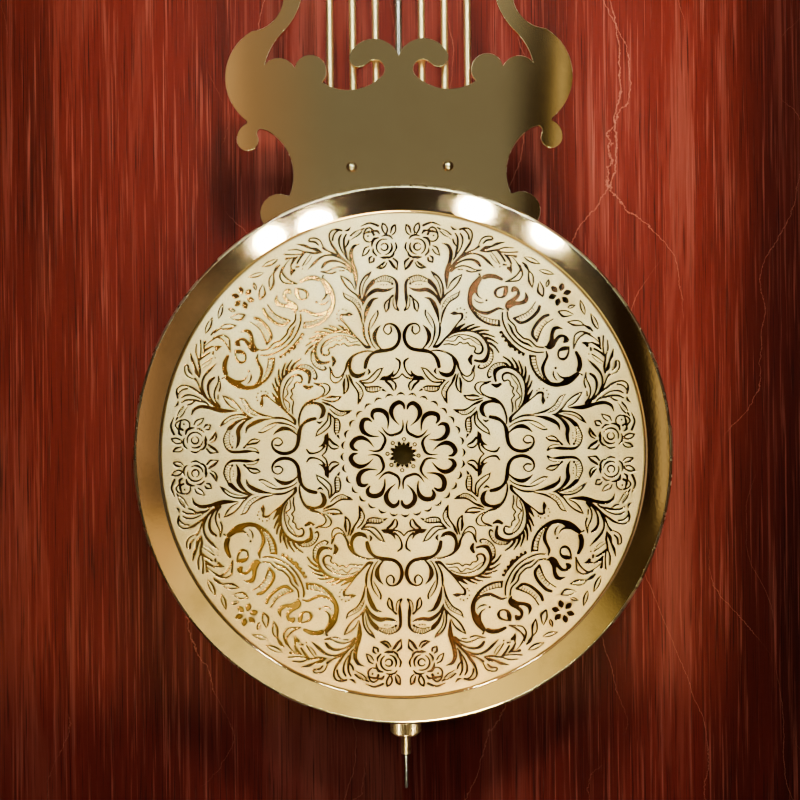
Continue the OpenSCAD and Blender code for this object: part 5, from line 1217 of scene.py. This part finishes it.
floor_z = cad_box[0][2] - FLOOR_GAP
corners = [(FLOOR_HALF * x, FLOOR_HALF * y, floor_z) for x, y in ((-1, -1), (1, -1), (1, 1), (-1, 1))]
floor = new_piece("floor", corners, [(0, 1, 2, 3)], pale_floor())
floor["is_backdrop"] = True


def room():
    """The world's colour goes with the height of a ray's direction. Where the direction's y is below
    -0.85 to -0.90, glossy rays see the room ahead: its colour goes with the direction's x from -0.30 to
    0.30, times a tone that goes with its z from 0 to 0.4, dimmest at the height of the rim's top."""
    world = bpy.data.worlds.new("room")
    bpy.context.scene.world = world
    world.use_nodes = True
    tree = world.node_tree
    tree.nodes.clear()
    way = add(tree, "SeparateXYZ", Vector=add(tree, "TexCoord").outputs["Generated"])
    up = add(tree, "MapRange", Value=way.outputs["Z"], From_Min=-0.3, From_Max=0.9)
    greys = [(0.0, "#c9c4ba"), (0.25, "#dcd8d0"), (0.55, "#a9a49c"), (1.0, "#77726b")]
    sky = add(tree, "ValToRGB", stops=greys, Fac=up)
    path = add(tree, "LightPath")
    across = add(tree, "MapRange", Value=way.outputs["X"], From_Min=-0.30, From_Max=0.30)
    walls = [(0.0, "#ffd8b8"), (0.20, "#ffcfa0"), (0.26, "#a8886c"), (0.38, "#868175"), (0.68, "#868175"),
             (0.72, "#2a1c12"), (0.755, "#2a1c12"), (0.765, "#ffe0a0"), (0.772, "#ffe0a0"), (0.78, "#1c140c")]
    ahead = add(tree, "ValToRGB", stops=walls, Fac=across)
    height = add(tree, "MapRange", Value=way.outputs["Z"], From_Min=0.0, From_Max=0.4)
    dims = [(0.10, "#ffffff"), (0.20, "#6e5a4e"), (0.36, "#6e5a4e"), (0.47, "#ffffff")]
    dimmed = add(tree, "ValToRGB", stops=dims, Fac=height)
    ahead = add(tree, "Mix", {**COLOURS, "blend_type": "MULTIPLY"}, i0=1.0, i6=ahead, i7=dimmed)
    facing = add(tree, "MapRange", Value=way.outputs["Y"], From_Min=-0.85, From_Max=-0.90)
    facing = add(tree, "Math", {"operation": "MULTIPLY"}, i0=facing, i1=path.outputs["Is Glossy Ray"])
    colour = add(tree, "Mix", COLOURS, i0=facing, i6=sky, i7=ahead)
    seen = path.outputs["Is Camera Ray"]
    for kind in ("Is Glossy Ray", "Is Transmission Ray"):
        seen = add(tree, "Math", {"operation": "MAXIMUM"}, i0=seen, i1=path.outputs[kind])
    strength = add(tree, "MapRange", Value=seen, To_Min=0.5, To_Max=1.0)
    add(tree, "OutputWorld", Surface=add(tree, "Background", Color=colour, Strength=strength))


room()
print("floor", 2 * FLOOR_HALF, "m wide, and a room to mirror")

# %% [markdown]
# A large soft lamp stands at the front left, a weaker one at the right and one behind for the back of the
# case. Nearer the glass a spot lamp, which metal doesn't mirror, makes the warm pool of light on the board.
# Four small lamps higher than the bob and one lower give the rods, the nut and the screw their bright
# lines, and so does a faint pair at the sides.


# %% Lamps
def lamp(name, place, target, size, power, colour="#fff4e6", spot=0.0, mirrored_too=True):
    """A soft area lamp, or a spot lamp if an opening in degrees is given. Places and sizes are in metres,
    the power in watts. It isn't seen itself, and with mirrored_too off polished metal doesn't show it."""
    data = bpy.data.lights.new(name, "SPOT" if spot else "AREA")
    data.energy = power
    data.color = linear(colour)[:3]
    if spot:
        data.spot_size = math.radians(spot)
        data.spot_blend = 1.0
        data.shadow_soft_size = size
    else:
        data.shape = "DISK"
        data.size = size
    obj = bpy.data.objects.new(name, data)
    bpy.context.scene.collection.objects.link(obj)
    obj.location = place
    way = np.array(target, float) - np.array(place, float)
    yaw = math.atan2(way[1], way[0]) - math.pi / 2
    pitch = math.atan2(way[2], math.hypot(way[0], way[1])) + math.pi / 2
    obj.rotation_euler = (pitch, 0, yaw)
    obj.visible_camera = False
    obj.visible_glossy = mirrored_too


# Points that the lamps aim at, in metres.
CASE_MIDDLE = (0, 0, 1.1)
BOB_FRONT = (0, 0, 0.85)
lamp("key", (-2.3, -2.4, 3.0), CASE_MIDDLE, 1.6, 55)
lamp("fill", (2.4, -2.0, 1.7), CASE_MIDDLE, 2.0, 14)
lamp("behind", (0.8, 3.0, 2.6), (0, 0.1, 1.1), 2.0, 60)
pool_target = (0.105, board_low.y, 0.95)
lamp("pool", (0.085, -0.36, 1.08), pool_target, 0.03, 19.0, spot=86, mirrored_too=False)
for x, power in ((-0.29, 2.0), (-0.19, 3.0), (0.16, 4.4), (0.32, 3.0)):
    lamp("ceiling_%+.0f" % (x * 100), (x, -0.75, 1.42), (x / 3, 0, 0.85), 0.06, power, colour="#fff8ec")
lamp("low", (0.06, -0.7, 0.38), BOB_FRONT, 0.14, 7.0, colour="#ffe8b0")
for side in (-1, 1):
    lamp("rods_%+d" % side, (0.42 * side, -0.75, 1.36), (0, 0, 1.05), 0.16, 0.8)

# %% [markdown]
# The photograph shows four glares in the top of the rim, where it mirrors the ceiling lights of a room.
# A bulb stands for each. The line from the camera to a glare's point on the rim is mirrored there by a
# surface that leans three degrees towards the middle, and the bulb stands on the mirrored line.

# %% Bulbs that glare in the rim
# Each glare's column and row in the picture, and its bulb's watts. Then how far a bulb stands from the rim,
# and its size, in metres.
GLARES = ((275, 243, 0.3), (320, 228, 0.6), (475, 215, 0.45), (545, 240, 0.55))
BULB_REACH = 0.62
BULB_SIZE = 0.024
for column, row, power in GLARES:
    at = camera.location + Vector(((column - IMAGE / 2) * PIXEL, rim_distance, (IMAGE / 2 - row) * PIXEL))
    way = (at - camera.location) / rim_distance
    outward = Vector((at.x - BOB.x, 0, at.z - BOB.z)).normalized()
    bulb_place = at + BULB_REACH * (Vector((way.x, -1, way.z)) - 2 * DISH * outward)
    above_middle = (BOB.x, 0, BOB.z + 0.05)
    lamp("bulb_%d" % column, bulb_place, above_middle, BULB_SIZE, power, colour="#fffaf0")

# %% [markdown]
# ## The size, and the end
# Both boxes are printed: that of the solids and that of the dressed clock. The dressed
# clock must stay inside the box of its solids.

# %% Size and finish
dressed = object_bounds()
for title, box in (("CAD box", cad_box), ("dressed", dressed)):
    print(title, [[round(v, 3) for v in corner] for corner in box])
